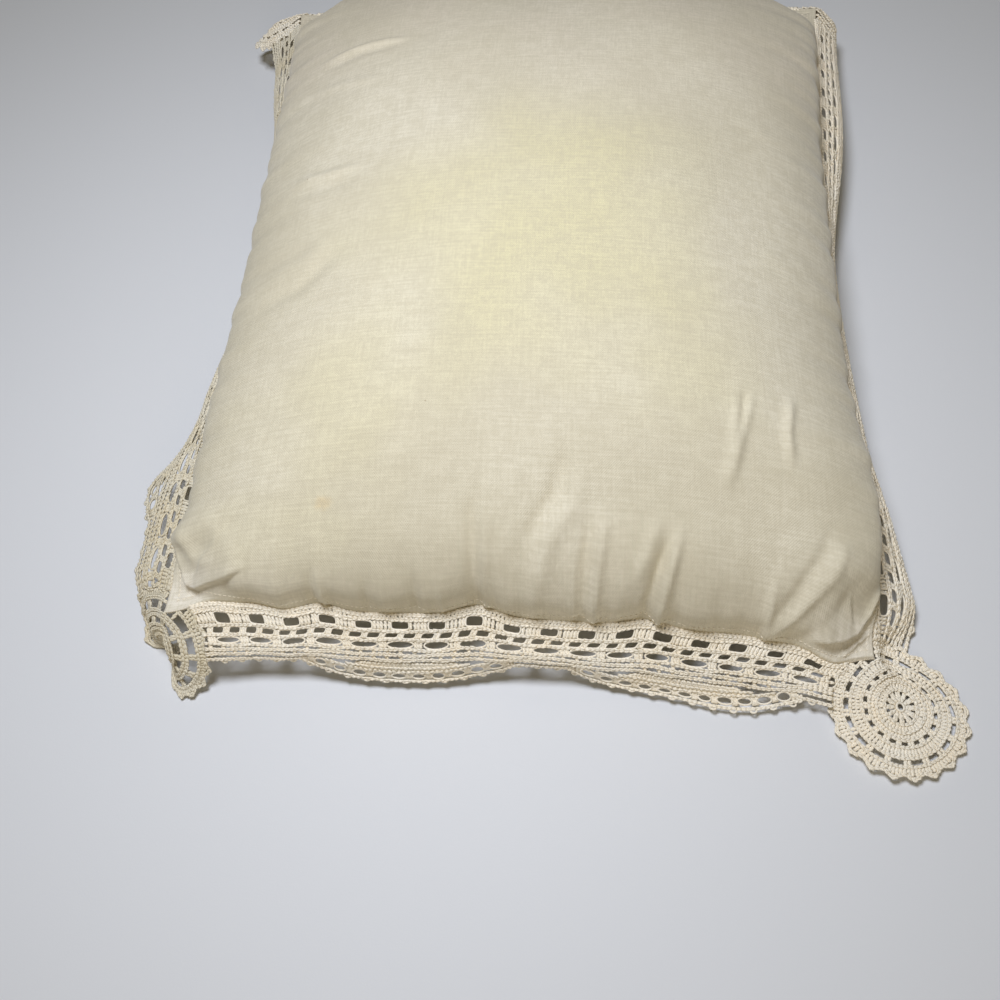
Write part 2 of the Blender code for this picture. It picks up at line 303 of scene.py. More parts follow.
def fullness(u, v):
    """How far the filling lifts the cloth, 0 along the hem and on the corner flaps, 1 in the middle."""
    across = np.clip(1.0 - np.abs(u) ** CROWN_POWER, 0.0, 1.0) ** CROWN_ROOT
    length = np.clip(1.0 - np.abs(v) ** CROWN_POWER, 0.0, 1.0) ** CROWN_ROOT
    from_corner = np.hypot(HALF_WIDTH * (1.0 - np.abs(u)), HALF_LENGTH * (1.0 - np.abs(v)))
    return across * length * smooth(*FLAP_REACH, from_corner)


def cushion_top(u, v):
    """The filled cloth above its hem, without folds, as it bulges out at the sides and the ends."""
    x, y = seam_plan(u, v)
    full = fullness(u, v)
    body = smooth(0.0, 0.35, full)
    from_side, from_end = 1.0 - np.abs(u), 1.0 - np.abs(v)
    x = x + np.sign(u) * HALF_WIDTH * SIDE_BULGE * from_side * np.exp(-from_side / BULGE_REACH) * body
    y = y + np.sign(v) * HALF_LENGTH * END_BULGE * from_end * np.exp(-from_end / BULGE_REACH) * body
    away = ((u - PUFF_PLACE[0]) ** 2 + (v - PUFF_PLACE[1]) ** 2) / PUFF_REACH**2
    x = x + PUFF_PUSH * np.exp(-away) * smooth(0.02, 0.30, full)
    level = hem_height(u, v) + HEM_THICKNESS / 2.0
    return stacked(x, y, level + (CROWN_HEIGHT - level) * full)


def cushion_underside(u, v):
    """The cloth below its hem, which lies flat on the floor in the middle."""
    x, y = seam_plan(u, v)
    full = np.minimum(fullness(u, v) * UNDERSIDE_FILL, 1.0)
    level = hem_height(u, v) - HEM_THICKNESS / 2.0
    return stacked(x, y, level * (1.0 - full))


# ---- Thread ----

THREAD = 0.66 * MM  # radius of a worked strand
STRAND_FLATNESS = 0.72
TUBE_SIDES = 4
STEP_FOR_NORMAL = 0.3 * MM

# A chain stitch: its length, and on each side of it a strand of three points, with their places ahead
# as shares of the length, aside as shares of the width, and their rise and thickness
CHAIN_STITCH = 2.6 * MM
CHAIN_AHEAD = np.array([-0.62, 0.0, 0.62])
CHAIN_ASIDE = np.array([0.95, 0.70, 0.15])
CHAIN_RISE = np.array([-0.30, 0.30, -0.05]) * MM
CHAIN_THICKNESS = np.array([0.66, 1.12, 0.66])
CHAIN_JITTER = 0.10 * MM
# The flat strand under a row of chain: its radius as a share of the width, how flat it is and how far
# it lies below the others
CORE_RADIUS = 1.25
CORE_FLATNESS = 0.55
CORE_DROP = 0.25 * MM

# A post: the radius and thickness of its two strands, how far they wind round each other and how deep
POST_RADIUS = 1.28 * THREAD
POST_THICKNESS = np.array([0.8, 1.05, 1.0, 1.05, 0.8])
POST_WIND = 2.2 * math.pi
POST_DEPTH = 0.36 * MM
POST_JITTER = 0.15 * MM


class Thread:
    """Strands of crochet thread, laid out flat as (along, out, lift) and then bent over a shape."""

    def __init__(self):
        self.batches = []

    def add(self, points, radius, closed=False, flatness=1.0):
        """points is strands x points x 3, radius one number or an array that fits them."""
        if len(points):
            self.batches.append((points, np.broadcast_to(radius, points.shape[:2]), closed, flatness))

    def surface(self, place, facing):
        """Vertices, faces and texture places of all strands on the shape that place gives."""
        vertices, quads, caps, texture = [], [], [], []
        side = np.arange(TUBE_SIDES)
        next_side = (side + 1) % TUBE_SIDES
        around, turn = side / TUBE_SIDES, 1.0 / TUBE_SIDES
        first = 0
        for points, radius, closed, flatness in self.batches:
            rings = self.rings(points, radius, closed, flatness, place, facing)
            vertices.append(rings.reshape(-1, 3))
            strands, count = points.shape[:2]
            spans = count if closed else count - 1
            base = first + np.arange(strands)[:, None, None] * count * TUBE_SIDES
            ring = base + np.arange(spans)[:, None] * TUBE_SIDES
            after = base + (np.arange(spans)[:, None] + 1) % count * TUBE_SIDES
            quad = stacked(ring + side, after + side, after + next_side, ring + next_side)
            quads.append(quad.reshape(-1, 4))
            run = run_along(points)[:, :, None]
            along, step = run[:, :spans], run[:, -1:] / (count - 1)
            end, over = along + step, around + turn
            face = stacked(along, around, end, around, end, over, along, over)
            texture.append(face.reshape(-1, 4, 2))
            if not closed:
                start = base[:, 0] + side
                caps += [start, start[:, ::-1] + (count - 1) * TUBE_SIDES]
            first += rings.size // 3
        texture.append(np.zeros((sum(map(len, caps)), TUBE_SIDES, 2)))
        return np.concatenate(vertices), np.concatenate(quads + caps), np.concatenate(texture)

    @staticmethod
    def rings(points, radius, closed, flatness, place, facing):
        """The ring of vertices round each point of each strand."""
        along, out, lift = points[..., 0], points[..., 1], points[..., 2]
        step = STEP_FOR_NORMAL
        by_along = place(along + step, out) - place(along - step, out)
        by_out = place(along, out + step) - place(along, out - step)
        normal = unit(facing * np.cross(by_out, by_along))
        centre = place(along, out) + normal * lift[..., None]
        if closed:
            tangent = np.roll(centre, -1, axis=1) - np.roll(centre, 1, axis=1)
        else:
            tangent = np.gradient(centre, axis=1)
        tangent = unit(tangent)
        across = unit(np.cross(tangent, normal))
        up = np.cross(across, tangent)
        angle = circle(TUBE_SIDES)[:, None] + math.pi / TUBE_SIDES
        spread = np.cos(angle) * across[..., None, :] + flatness * np.sin(angle) * up[..., None, :]
        return centre[..., None, :] + radius[..., None, None] * spread


def add_object(name, data):
    """A new object of the scene that shows this mesh, light or camera."""
    made = bpy.data.objects.new(name, data)
    bpy.context.collection.objects.link(made)
    return made


def finish_piece(mesh, layer, places, material):
    """The piece with this mesh, given its texture places, material and body."""
    mesh.uv_layers.new(name=layer).data.foreach_set("uv", places.astype(np.float32).ravel())
    mesh.materials.append(material)
    mesh.shade_smooth()
    piece = add_object(mesh.name, mesh)
    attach(piece, "root")
    return piece


def thread_piece(name, thread, place, facing, material):
    """The piece that a thread makes on the shape that place gives."""
    vertices, faces, places = thread.surface(place, facing)
    vertices[:, 2] = np.maximum(vertices[:, 2], FLOOR_SKIN)
    mesh = bpy.data.meshes.new(name)
    mesh.vertices.add(len(vertices))
    mesh.vertices.foreach_set("co", vertices.astype(np.float32).ravel())
    mesh.loops.add(faces.size)
    mesh.loops.foreach_set("vertex_index", faces.astype(np.int32).ravel())
    mesh.polygons.add(len(faces))
    mesh.polygons.foreach_set("loop_start", np.arange(0, faces.size, faces.shape[1], dtype=np.int32))
    mesh.update(calc_edges=True)
    return finish_piece(mesh, "thread", places, material)


def sample_line(line, count):
    """count places evenly along an open flat line."""
    run = run_along(line)
    return at_distance(line, run, np.linspace(0.0, run[-1], count))


def line_normals(line):
    """The directions square to a flat line and along it, at each of its points."""
    ahead = unit(np.gradient(line, axis=0))
    return stacked(-ahead[:, 1], ahead[:, 0]), ahead


def laid_out(origins, ways, lift):
    """Strands at these origins: each way has a direction for each strand and its points' amounts."""
    flat = origins[:, None, :]
    for direction, amounts in ways:
        flat = flat + direction[:, None, :] * amounts[..., None]
    return stacked(flat[..., 0], flat[..., 1], lift)


def chain(thread, line, rng, lift=0.7 * MM, width=0.85 * MM, radius=THREAD):
    """A row of chain stitches along a flat line: two rows of short strands that lean together as Vs."""
    length = run_along(line)[-1]
    count = max(2, int(round(length / CHAIN_STITCH)))
    centres = sample_line(line, 2 * count + 1)[1::2]
    aside, ahead = line_normals(centres)
    core = sample_line(line, count + 1)
    thread.add(
        stacked(core[:, 0], core[:, 1], lift - CORE_DROP)[None],
        CORE_RADIUS * width,
        flatness=CORE_FLATNESS,
    )
    for sign in (-1.0, 1.0):
        ways = ((ahead, CHAIN_AHEAD * length / count), (aside, sign * width * CHAIN_ASIDE))
        points = laid_out(centres, ways, lift + CHAIN_RISE)
        points[:, :, :2] += rng.normal(0.0, CHAIN_JITTER, (count, 1, 2))
        points[:, :, 2] += rng.normal(0.0, CHAIN_JITTER, (count, 1))
        thread.add(points, radius * CHAIN_THICKNESS, flatness=STRAND_FLATNESS)


def posts(thread, bottom, top, rng, lift=0.0, width=0.52 * MM):
    """Treble posts from each bottom to each top point: two strands that wind round each other."""
    share = np.linspace(0.0, 1.0, len(POST_THICKNESS))
    way = top - bottom
    aside = unit(stacked(-way[:, 1], way[:, 0]))
    shift = rng.normal(0.0, POST_JITTER, (len(bottom), 1))
    for phase in (0.0, math.pi):
        wind = phase + share * POST_WIND
        ways = ((way, share), (aside, width * np.cos(wind) + shift))
        points = laid_out(bottom, ways, lift + POST_DEPTH * np.sin(wind))
        thread.add(points, POST_RADIUS * POST_THICKNESS, flatness=STRAND_FLATNESS)


def picots(thread, roots, ahead, outward, size=1.5 * MM, lift=0.4 * MM):
    """Small loops of thread that stand out from an edge."""
    angle = circle(10)
    ways = ((ahead, 1.15 * size * np.sin(angle)), (outward, size * (0.7 - np.cos(angle))))
    thread.add(laid_out(roots, ways, lift + 0.15 * MM * np.cos(2.0 * angle)), THREAD, closed=True)


# ---- The crochet edging ----

FOUNDATION = 3.0 * MM  # how far out from the hem each row of a strip lies
FILET_TOP = 9.2 * MM
LATTICE_TOP = 14.2 * MM
LENS_TOP = 19.4 * MM
CHAIN_ROWS = (21.9 * MM, 24.7 * MM)
POST_PITCH = 2.05 * MM
POST_GAP = 0.5 * MM  # between a row of chain and the posts above it
LENS_SHARE = 0.70  # of a repeat, each long opening of the third row
LATTICE_SHARE = 0.37  # of a repeat, each small opening of the second row, which leans as its trebles do
LATTICE_LEAN = -1.8 * MM
ROW_WOBBLE = 8.0 * MM  # hand-worked rows wander a little along their length
ROW_UNEVEN = 0.26 * MM
ROW_CHAIN = 0.62 * MM  # half width of the chain between two rows
JOIN_PITCH = 2.2 * MM  # of the short stitches into the hem
SLIT_PITCH = 8.2 * MM  # of the posts between two close rows of chain
PICOT_PITCH = 12.0 * MM
ARC_INWARD = 5.3 * MM  # from a scallop's edge to the middle of its row of gaps
ARC_PITCH = 10.6 * MM
ARC_HOLE = (3.9 * MM, 2.9 * MM)
ARC_POSTS = (-3.3 * MM, 3.0 * MM)  # the posts between those gaps, from the middle of the row
ARC_END = 7.0 * MM  # the row of gaps stops this far short of the scallop's ends
ARC_CHAIN = 3.9 * MM  # from the middle of the row of gaps in to the chain behind it
FAN_ROUNDS = ((0.0, 0.50), (0.56, 1.0))  # the fan of posts behind that chain, as shares of its reach
FAN_FOOT = 0.72  # its width at the foot as a share of that at the top
FAN_SHORTEST = 1.6 * MM


def join_inset(corner, side, out):
    """How far short of the corner a strip ends, so that the corner's medallion fits against it."""
    out_x, out_y = CORNER[corner][5:]
    across, inward = (out_y, out_x) if side in ("near", "far") else (out_x, out_y)
    radius = EDGE_RING + 0.4 * MM
    return np.sqrt(np.maximum(radius**2 - (out - across) ** 2, 0.0)) - inward


def scallop_depth(side, along):
    """How far a side's edge hangs below its band at a place along it."""
    depth = 0.0 * along + EDGE_ROUND
    for centre, half in SCALLOPS[side]:
        arch = np.clip(1.0 - ((along - centre) / half) ** 2, 0.0, 1.0) ** 0.7
        depth = np.maximum(depth, SCALLOP_DEPTH * arch)
    return depth


class Strip:
    """The flat layout of one side's strip: places along it by share, between its two medallions."""

    def __init__(self, side):
        self.side = side
        self.half = side_length(side)
        self.first, self.last = side_corners(side)
        self.repeats = round(2.0 * self.half / FILET_PITCH) - 2
        self.total = self.repeats + 1.0 - HOLE_SHARE

    def along(self, share, out):
        """The place along the side of a share from 0 to 1 of the row that lies this far out."""
        start = -self.half + join_inset(self.first, self.side, out)
        end = self.half - join_inset(self.last, self.side, out)
        return start + share * (end - start)

    def row(self, out):
        """The line of the row that lies this far out, which wanders a little."""
        along = self.along(np.linspace(0.0, 1.0, 240), out)
        slow = np.sin(along / ROW_WOBBLE + 400.0 * out)
        quick = np.sin(along / (0.57 * ROW_WOBBLE) + 900.0 * out)
        return stacked(along, out + ROW_UNEVEN * (slow + quick))

    def post_share(self, offset=0.0):
        """The shares of the posts' middles, moved by an offset in repeats."""
        return (np.arange(self.repeats + 1) + (1.0 - HOLE_SHARE) / 2.0 + offset) / self.total

    def hole_share(self):
        """The shares of the openings' middles."""
        return (np.arange(self.repeats) + (1.0 - HOLE_SHARE) + HOLE_SHARE / 2.0) / self.total

    def even_share(self, pitch):
        """The shares of places that are evenly spaced along the whole strip."""
        count = int(round(2.0 * self.half / pitch))
        return (np.arange(count) + 0.5) / count

    def edge(self):
        """The line of the scalloped edge."""
        along = self.along(np.linspace(0.0, 1.0, 400), BAND_WIDTH)
        return stacked(along, BAND_WIDTH + scallop_depth(self.side, along))


def between(strip, share, low, high, lean=0.0):
    """Bottom and top points of posts at these shares between two rows, leaning by metres."""
    return (
        stacked(strip.along(share, low) - lean / 2.0, low),
        stacked(strip.along(share, high) + lean / 2.0, high),
    )


def hem_join(ground, raised, strip, rng):
    """The short stitches that hold the crochet to the hem, and the first chain."""
    share = strip.even_share(JOIN_PITCH)
    ends = between(strip, share, -1.2 * MM, FOUNDATION - 0.4 * MM, lean=0.8 * MM)
    posts(ground, *ends, rng, lift=0.9 * MM, width=0.42 * MM)
    chain(raised, strip.row(0.9 * MM), rng, lift=1.5 * MM, width=0.6 * MM)
    chain(raised, strip.row(FOUNDATION), rng)


def filet_row(ground, raised, strip, rng):
    """Groups of five trebles with a gap between groups."""
    low, high = FOUNDATION + POST_GAP, FILET_TOP - 0.4 * MM
    for place in (-2.0, -1.0, 0.0, 1.0, 2.0):
        share = strip.post_share(place * POST_PITCH / FILET_PITCH)
        posts(ground, *between(strip, share, low, high), rng)
    low, high = FOUNDATION + 0.6 * MM, FILET_TOP - 0.6 * MM
    hole_rims(ground, strip, strip.hole_share(), low, high, HOLE_SHARE, rng)
    chain(raised, strip.row(FILET_TOP), rng, width=ROW_CHAIN)


def hole_rims(thread, strip, middles, low, high, width, rng, lean=0.0, square=4.0):
    """A rounded rim of thread inside each hole of a row, where its width is a share of a repeat."""
    angle = circle(18)
    power = 2.0 / square
    over = np.sign(np.cos(angle)) * np.abs(np.cos(angle)) ** power
    up = np.sign(np.sin(angle)) * np.abs(np.sin(angle)) ** power
    size = rng.normal(1.0, 0.07, (len(middles), 1))
    half = width / 2.0 / strip.total * rng.normal(1.0, 0.05, (len(middles), 1))
    out = (low + high) / 2.0 + (high - low) / 2.0 * up * size
    along = strip.along(middles[:, None] + half * over, out) + lean * up / 2.0
    thread.add(stacked(along, out, 0.25 * MM), THREAD, closed=True)


def lattice_row(ground, raised, strip, rng):
    """Pairs of slanted trebles at half the pitch."""
    low, high = FILET_TOP + 0.6 * MM, LATTICE_TOP - 0.5 * MM
    for half_pitch in (0.0, 0.5):
        for place in (-0.36, 0.36):
            share = strip.post_share(half_pitch + place * POST_PITCH / FILET_PITCH)
            posts(ground, *between(strip, share[share < 1.0], low, high, LATTICE_LEAN), rng)
    middles = (strip.post_share(0.25)[:, None] + np.array([0.0, 0.5 / strip.total])).ravel()
    middles, high = middles[middles < 1.0], LATTICE_TOP - 0.6 * MM
    hole_rims(ground, strip, middles, low, high, LATTICE_SHARE, rng, lean=LATTICE_LEAN)
    chain(raised, strip.row(LATTICE_TOP), rng, width=ROW_CHAIN)


def lens_row(ground, raised, strip, rng):
    """Long low gaps between short groups of trebles."""
    low, high = LATTICE_TOP + POST_GAP, LENS_TOP - 0.4 * MM
    for place in (-0.8, 0.0, 0.8):
        share = strip.post_share(place * POST_PITCH / FILET_PITCH)
        posts(ground, *between(strip, share, low, high, lean=0.4 * MM), rng)
    high = LENS_TOP - POST_GAP
    hole_rims(raised, strip, strip.hole_share(), low, high, LENS_SHARE, rng, lean=-0.8 * MM, square=2.2)
    chain(raised, strip.row(LENS_TOP), rng, width=ROW_CHAIN)


def chain_rows(thread, strip, rng):
    """Close rows of chain with slits between them, down to the edge."""
    for low, high in zip((LENS_TOP, *CHAIN_ROWS[:-1]), CHAIN_ROWS):
        ends = between(strip, strip.even_share(SLIT_PITCH), low, high, lean=1.6 * MM)
        posts(thread, *ends, rng, lift=-0.3 * MM)
        chain(thread, strip.row(high), rng, width=0.80 * MM, radius=0.9 * THREAD)


def scallop_line(strip, centre, half):
    """Places along a scallop, clear of its ends, and how far out its edge lies there."""
    along = centre + np.linspace(-1.0, 1.0, 160) * (half - ARC_END)
    return along, BAND_WIDTH + scallop_depth(strip.side, along)


def scallop_gaps(thread, strip, centre, half, rng):
    """A row of rimmed gaps that follows the scallop's edge, with three posts between two gaps."""
    along, edge = scallop_line(strip, centre, half)
    arc = stacked(along, edge - ARC_INWARD)
    count = int(run_along(arc)[-1] / ARC_PITCH)
    line = sample_line(arc, 2 * count + 1)
    aside, ahead = line_normals(line)
    spots, bars = slice(1, None, 2), slice(0, None, 2)
    angle = circle(14)
    width = ARC_HOLE[0] * rng.normal(1.0, 0.08, (count, 1))
    height = ARC_HOLE[1] * rng.normal(1.0, 0.10, (count, 1))
    ways = ((ahead[spots], width * np.cos(angle)), (aside[spots], height * np.sin(angle)))
    thread.add(laid_out(line[spots], ways, 0.5 * MM), THREAD, closed=True)
    for place in (-0.9 * MM, 0.0, 0.9 * MM):
        foot = line[bars] + place * ahead[bars]
        bottom, top = (foot + reach * aside[bars] for reach in ARC_POSTS)
        posts(thread, bottom, top, rng)


def scallop_fan(thread, strip, centre, half, rng):
    """The chain behind the gaps, and the close posts that fan out to it from the scallop's middle."""
    along, edge = scallop_line(strip, centre, half)
    inner = edge - ARC_INWARD - ARC_CHAIN
    chain(thread, stacked(along, inner)[inner > BAND_WIDTH], rng, width=0.6 * MM)
    fan = centre + np.arange(-half, half, POST_PITCH)
    depth = scallop_depth(strip.side, fan)
    reach = depth - ARC_INWARD - ARC_CHAIN - 0.3 * MM

    def fan_points(share):
        width = FAN_FOOT + (1.0 - FAN_FOOT) * share
        return stacked(centre + (fan - centre) * width, BAND_WIDTH + share * reach)

    for low, high in FAN_ROUNDS:
        kept = (high - low) * reach > FAN_SHORTEST
        posts(thread, fan_points(low)[kept], fan_points(high)[kept], rng)
    line = stacked(centre + (along - centre) * 0.87, BAND_WIDTH + 0.53 * (inner - BAND_WIDTH))
    chain(thread, line[inner > BAND_WIDTH + 2.0 * MM], rng, width=0.5 * MM)
    # The posts at the scallop's two ends, where it is too shallow for gaps
    kept = (np.abs(fan - centre) > half - ARC_END - 2.0 * MM) & (depth > 2.2 * MM)
    posts(thread, stacked(fan, BAND_WIDTH)[kept], stacked(fan, BAND_WIDTH + depth - 0.8 * MM)[kept], rng)


def strip_edge(thread, strip, rng):
    """The chain along the scalloped edge and its picots."""
    line = strip.edge()
    chain(thread, line, rng, lift=0.6 * MM, width=0.8 * MM)
    spots = sample_line(line, int(round(2.0 * strip.half / PICOT_PITCH)) + 2)[1:-1]
    aside, ahead = line_normals(spots)
    picots(thread, spots, ahead, aside)


def build_strip(side, material, rng):
    """A side's strip, as its trebles and its chains."""
    strip = Strip(side)
    trebles, raised = Thread(), Thread()
    for row in (hem_join, filet_row, lattice_row, lens_row):
        row(trebles, raised, strip, rng)
    chain_rows(raised, strip, rng)
    for centre, half in SCALLOPS[side]:
        scallop_gaps(raised, strip, centre, half, rng)
        scallop_fan(raised, strip, centre, half, rng)
    strip_edge(raised, strip, rng)

    def place(along, out):
        points = drape_side(side, along, out)
        if side == "near":
            points = flared(points, along, out)
        elif side == "right":
            points = spread(points, along, out)
        return waved(points)

    ground = thread_piece("edging_" + side + "_trebles", trebles, place, 1.0, material)
    border = thread_piece("edging_" + side + "_chains", raised, place, 1.0, material)
    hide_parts("edging_" + side)
    return ground, border


# ---- The medallions ----

COTTON_CLEAR = 0.3 * MM
EYE = 2.3 * MM  # radius of the ring in the middle, and just inside it, the foot of the first posts
EYE_FOOT = 2.2 * MM
RING_GAP = 0.4 * MM  # between a post and the rings below and above it
# A medallion's rings of chain in mm, and how many slots lie in its two rings of gaps
CLOSE_RINGS = ((9.6, 13.8, 17.5, 21.3, 27.0, 31.3), 18, 18)
OPEN_RINGS = ((9.6, 13.8, 16.6, 22.6, 25.0, 31.4), 11, 14)
EDGE_RING = 36.3 * MM
EDGE_WAVE = 1.2 * MM
LOBES = 21


def polar(corner, radius, angle):
    """Places round the middle of a corner's medallion, in metres out from the corner."""
    out_x, out_y = CORNER[corner][5:]
    return stacked(out_x + radius * np.cos(angle), out_y + radius * np.sin(angle))


def clear_of_cotton(points):
    """Which places lie outside the cotton, whose corner is at 0, 0."""
    return (points[..., 0] > COTTON_CLEAR) | (points[..., 1] > COTTON_CLEAR)


def ring_line(corner, radius, wave=0.0):
    """The stretch of a ring that is clear of the cotton, or the whole ring, closed."""
    angle = circle(540) - 0.75 * math.pi
    points = polar(corner, radius + wave * np.cos(LOBES * angle), angle)
    clear = clear_of_cotton(points)
    if clear.all():
        return np.concatenate([points, points[:1]])
    start = int(np.argmax(~clear))
    return np.roll(points, -start, axis=0)[np.roll(clear, -start)]


def spokes(thread, corner, low, high, count, rng, lift=0.0, group=1, apart=0.0, phase=0.0):
    """Radial posts in groups that stand this many metres apart at their middle."""
    angle = 2.0 * math.pi * (np.arange(count) + phase) / count
    for member in range(group):
        shift = (member - (group - 1) / 2.0) * apart / ((low + high) / 2.0)
        bottom, top = (polar(corner, radius, angle + shift) for radius in (low, high))
        kept = clear_of_cotton(top) & clear_of_cotton(bottom)
        posts(thread, bottom[kept], top[kept], rng, lift=lift)


def build_medallion(corner, material, rng):
    """A corner's medallion, as its trebles and its chains."""
    ground, raised = Thread(), Thread()
    eye = polar(corner, EYE, circle(14))
    raised.add(stacked(eye[:, 0], eye[:, 1], 0.6 * MM)[None], THREAD * 1.2, closed=True)
    rings, inner_slots, outer_slots = OPEN_RINGS if corner == "near_left" else CLOSE_RINGS
    radii = [radius * MM for radius in rings]
    for radius in radii:
        chain(raised, ring_line(corner, radius), rng, width=0.7 * MM)
    chain(raised, ring_line(corner, EDGE_RING, EDGE_WAVE), rng)
    # The posts between two rings, from the eye outwards: how many groups, and what is special
    rounds = (
        (12, {"group": 2, "apart": 0.8 * MM}),
        (40, {}),
        (54, {"lift": -0.4 * MM}),
        (inner_slots, {"group": 2, "apart": 1.6 * MM}),
        (80, {}),
        (outer_slots, {"group": 2, "apart": 2.0 * MM, "phase": 0.5}),
        (108, {}),
    )
    for low, high, (count, special) in zip((EYE_FOOT, *radii), (*radii, EDGE_RING), rounds):
        spokes(ground, corner, low + RING_GAP, high - RING_GAP, count, rng, **special)
    angle = circle(LOBES)
    spots = polar(corner, EDGE_RING + EDGE_WAVE - 0.5 * MM, angle)
    kept = clear_of_cotton(spots)
    outward = stacked(np.cos(angle), np.sin(angle))
    ahead = stacked(-np.sin(angle), np.cos(angle))
    picots(raised, spots[kept], ahead[kept], outward[kept], size=0.85 * MM, lift=0.6 * MM)

    def place(out_x, out_y):
        return waved(drape_corner(corner, out_x, out_y))

    sign_x, sign_y = CORNER_SIGN[corner]
    facing = -sign_x * sign_y
    base = thread_piece("medallion_" + corner + "_trebles", ground, place, facing, material)
    rings = thread_piece("medallion_" + corner + "_chains", raised, place, facing, material)
    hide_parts("medallion_" + corner)
    return base, rings


# ---- The cotton ----

TOP_COLUMNS = 264
TOP_ROWS = 336
UNDER_STEP = 4  # the underside's grid is this many times coarser
EDGE_CROWDING = 1.35

# Ridges and grooves in the cloth: each one's path as (u, v), its width and its height in mm, which is
# negative for a groove
CREASES = (
    (((-0.070, -0.800), (-0.075, -0.930), (-0.082, -1.10)), 2.5, 1.8),
    (((-0.115, -0.780), (-0.108, -0.930), (-0.105, -1.07)), 3.0, -2.0),
    (((0.155, -0.690), (0.115, -0.808), (0.060, -0.868), (0.005, -0.940)), 4.7, -2.4),
    (((0.200, -0.740), (0.160, -0.830), (0.095, -0.895), (0.020, -1.05)), 4.7, 2.1),
    (((0.248, -0.830), (0.232, -0.910), (0.203, -1.07)), 2.4, 2.8),
    (((0.210, -0.810), (0.195, -0.910), (0.165, -1.07)), 3.0, -2.2),
    (((0.452, -0.840), (0.415, -0.930), (0.368, -1.07)), 2.5, 3.2),
    (((0.420, -0.860), (0.385, -0.925), (0.325, -1.05)), 2.5, -3.3),
    (((0.390, -0.840), (0.350, -0.910), (0.315, -0.965)), 3.0, 2.0),
    (((0.655, -1.04), (0.742, -0.960), (0.808, -0.886), (0.850, -0.810)), 2.2, 1.7),
    (((0.628, -1.04), (0.712, -0.950), (0.778, -0.872), (0.815, -0.790)), 2.8, -1.6),
    (((0.715, -1.06), (0.800, -0.975), (0.860, -0.905), (0.905, -0.840)), 3.0, -0.7),
    (((0.692, -1.05), (0.675, -0.950), (0.682, -0.890)), 1.9, 2.0),
    (((0.750, -0.550), (0.720, -0.646), (0.718, -0.740)), 2.2, 2.1),
    (((0.610, -0.560), (0.580, -0.712), (0.550, -0.810)), 2.7, 1.8),
    (((0.648, -0.560), (0.598, -0.690), (0.572, -0.780)), 2.0, 1.4),
    (((0.626, -0.560), (0.588, -0.700)), 1.9, -1.2),
    (((-0.552, -0.920), (-0.575, -1.07)), 2.2, -2.0),
    (((-0.522, -0.920), (-0.540, -1.07)), 2.4, 1.4),
    (((-0.405, -0.940), (-0.415, -1.07)), 1.9, -1.5),
    (((-0.268, -0.930), (-0.276, -1.07)), 1.9, -1.5),
    (((-0.200, -0.930), (-0.195, -1.07)), 2.2, 1.2),
    (((-0.985, -0.800), (-0.897, -0.890), (-0.800, -0.922)), 3.4, 1.8),
    (((-0.830, 0.480), (-0.777, 0.494), (-0.647, 0.508), (-0.430, 0.514)), 2.8, 1.5),
    (((-0.820, 0.450), (-0.647, 0.478), (-0.450, 0.488)), 3.5, -1.0),
    (((-0.820, 0.372), (-0.660, 0.352), (-0.520, 0.333)), 4.0, 0.8),
    (((-0.840, 0.032), (-0.682, 0.020), (-0.530, 0.022)), 3.0, 1.5),
    (((-0.840, -0.010), (-0.682, -0.022), (-0.540, -0.020)), 4.0, -0.9),
    (((-0.890, -0.345), (-0.703, -0.318), (-0.550, -0.215)), 5.0, -1.3),
    (((-0.860, -0.270), (-0.700, -0.245), (-0.580, -0.165)), 6.0, 0.9),
    (((0.900, 0.200), (0.780, 0.180), (0.660, 0.190)), 6.0, 0.6),
    (((0.900, -0.180), (0.800, -0.210), (0.700, -0.200)), 6.0, 0.6),
    (((0.560, 0.990), (0.530, 0.930), (0.520, 0.850)), 5.0, 1.2),
    (((-0.300, 0.990), (-0.310, 0.920), (-0.280, 0.840)), 5.0, 1.2),
    (((0.120, 0.990), (0.110, 0.930), (0.140, 0.860)), 5.0, 1.1),
    (((-0.620, 0.990), (-0.600, 0.930), (-0.560, 0.850)), 4.0, 1.4),
    (((0.870, -1.0), (0.925, -0.978), (1.0, -0.935)), 1.5, 1.8),
)
CREASE_FADE = 0.35  # the share of its path in which a crease dies out at each end

# Broad shallow places: the centre as (u, v), the size in both and the depth in mm, which raises the
# cloth where it is negative
DENTS = (
    ((-0.10, 0.10), (0.55, 0.35), -1.5),
    ((0.25, -0.30), (0.40, 0.25), 2.0),
    ((-0.45, -0.35), (0.30, 0.30), 1.6),
    ((0.62, 0.10), (0.22, 0.40), 1.4),
    ((-0.15, 0.62), (0.45, 0.22), 1.6),
    ((0.10, -0.66), (0.26, 0.14), 1.2),
    ((-0.30, -0.80), (0.20, 0.10), 1.2),
    ((0.48, -0.80), (0.14, 0.12), 1.3),
    ((0.940, -0.900), (0.125, 0.100), -4.4),
    ((-0.93, -0.880), (0.090, 0.065), -2.0),
)

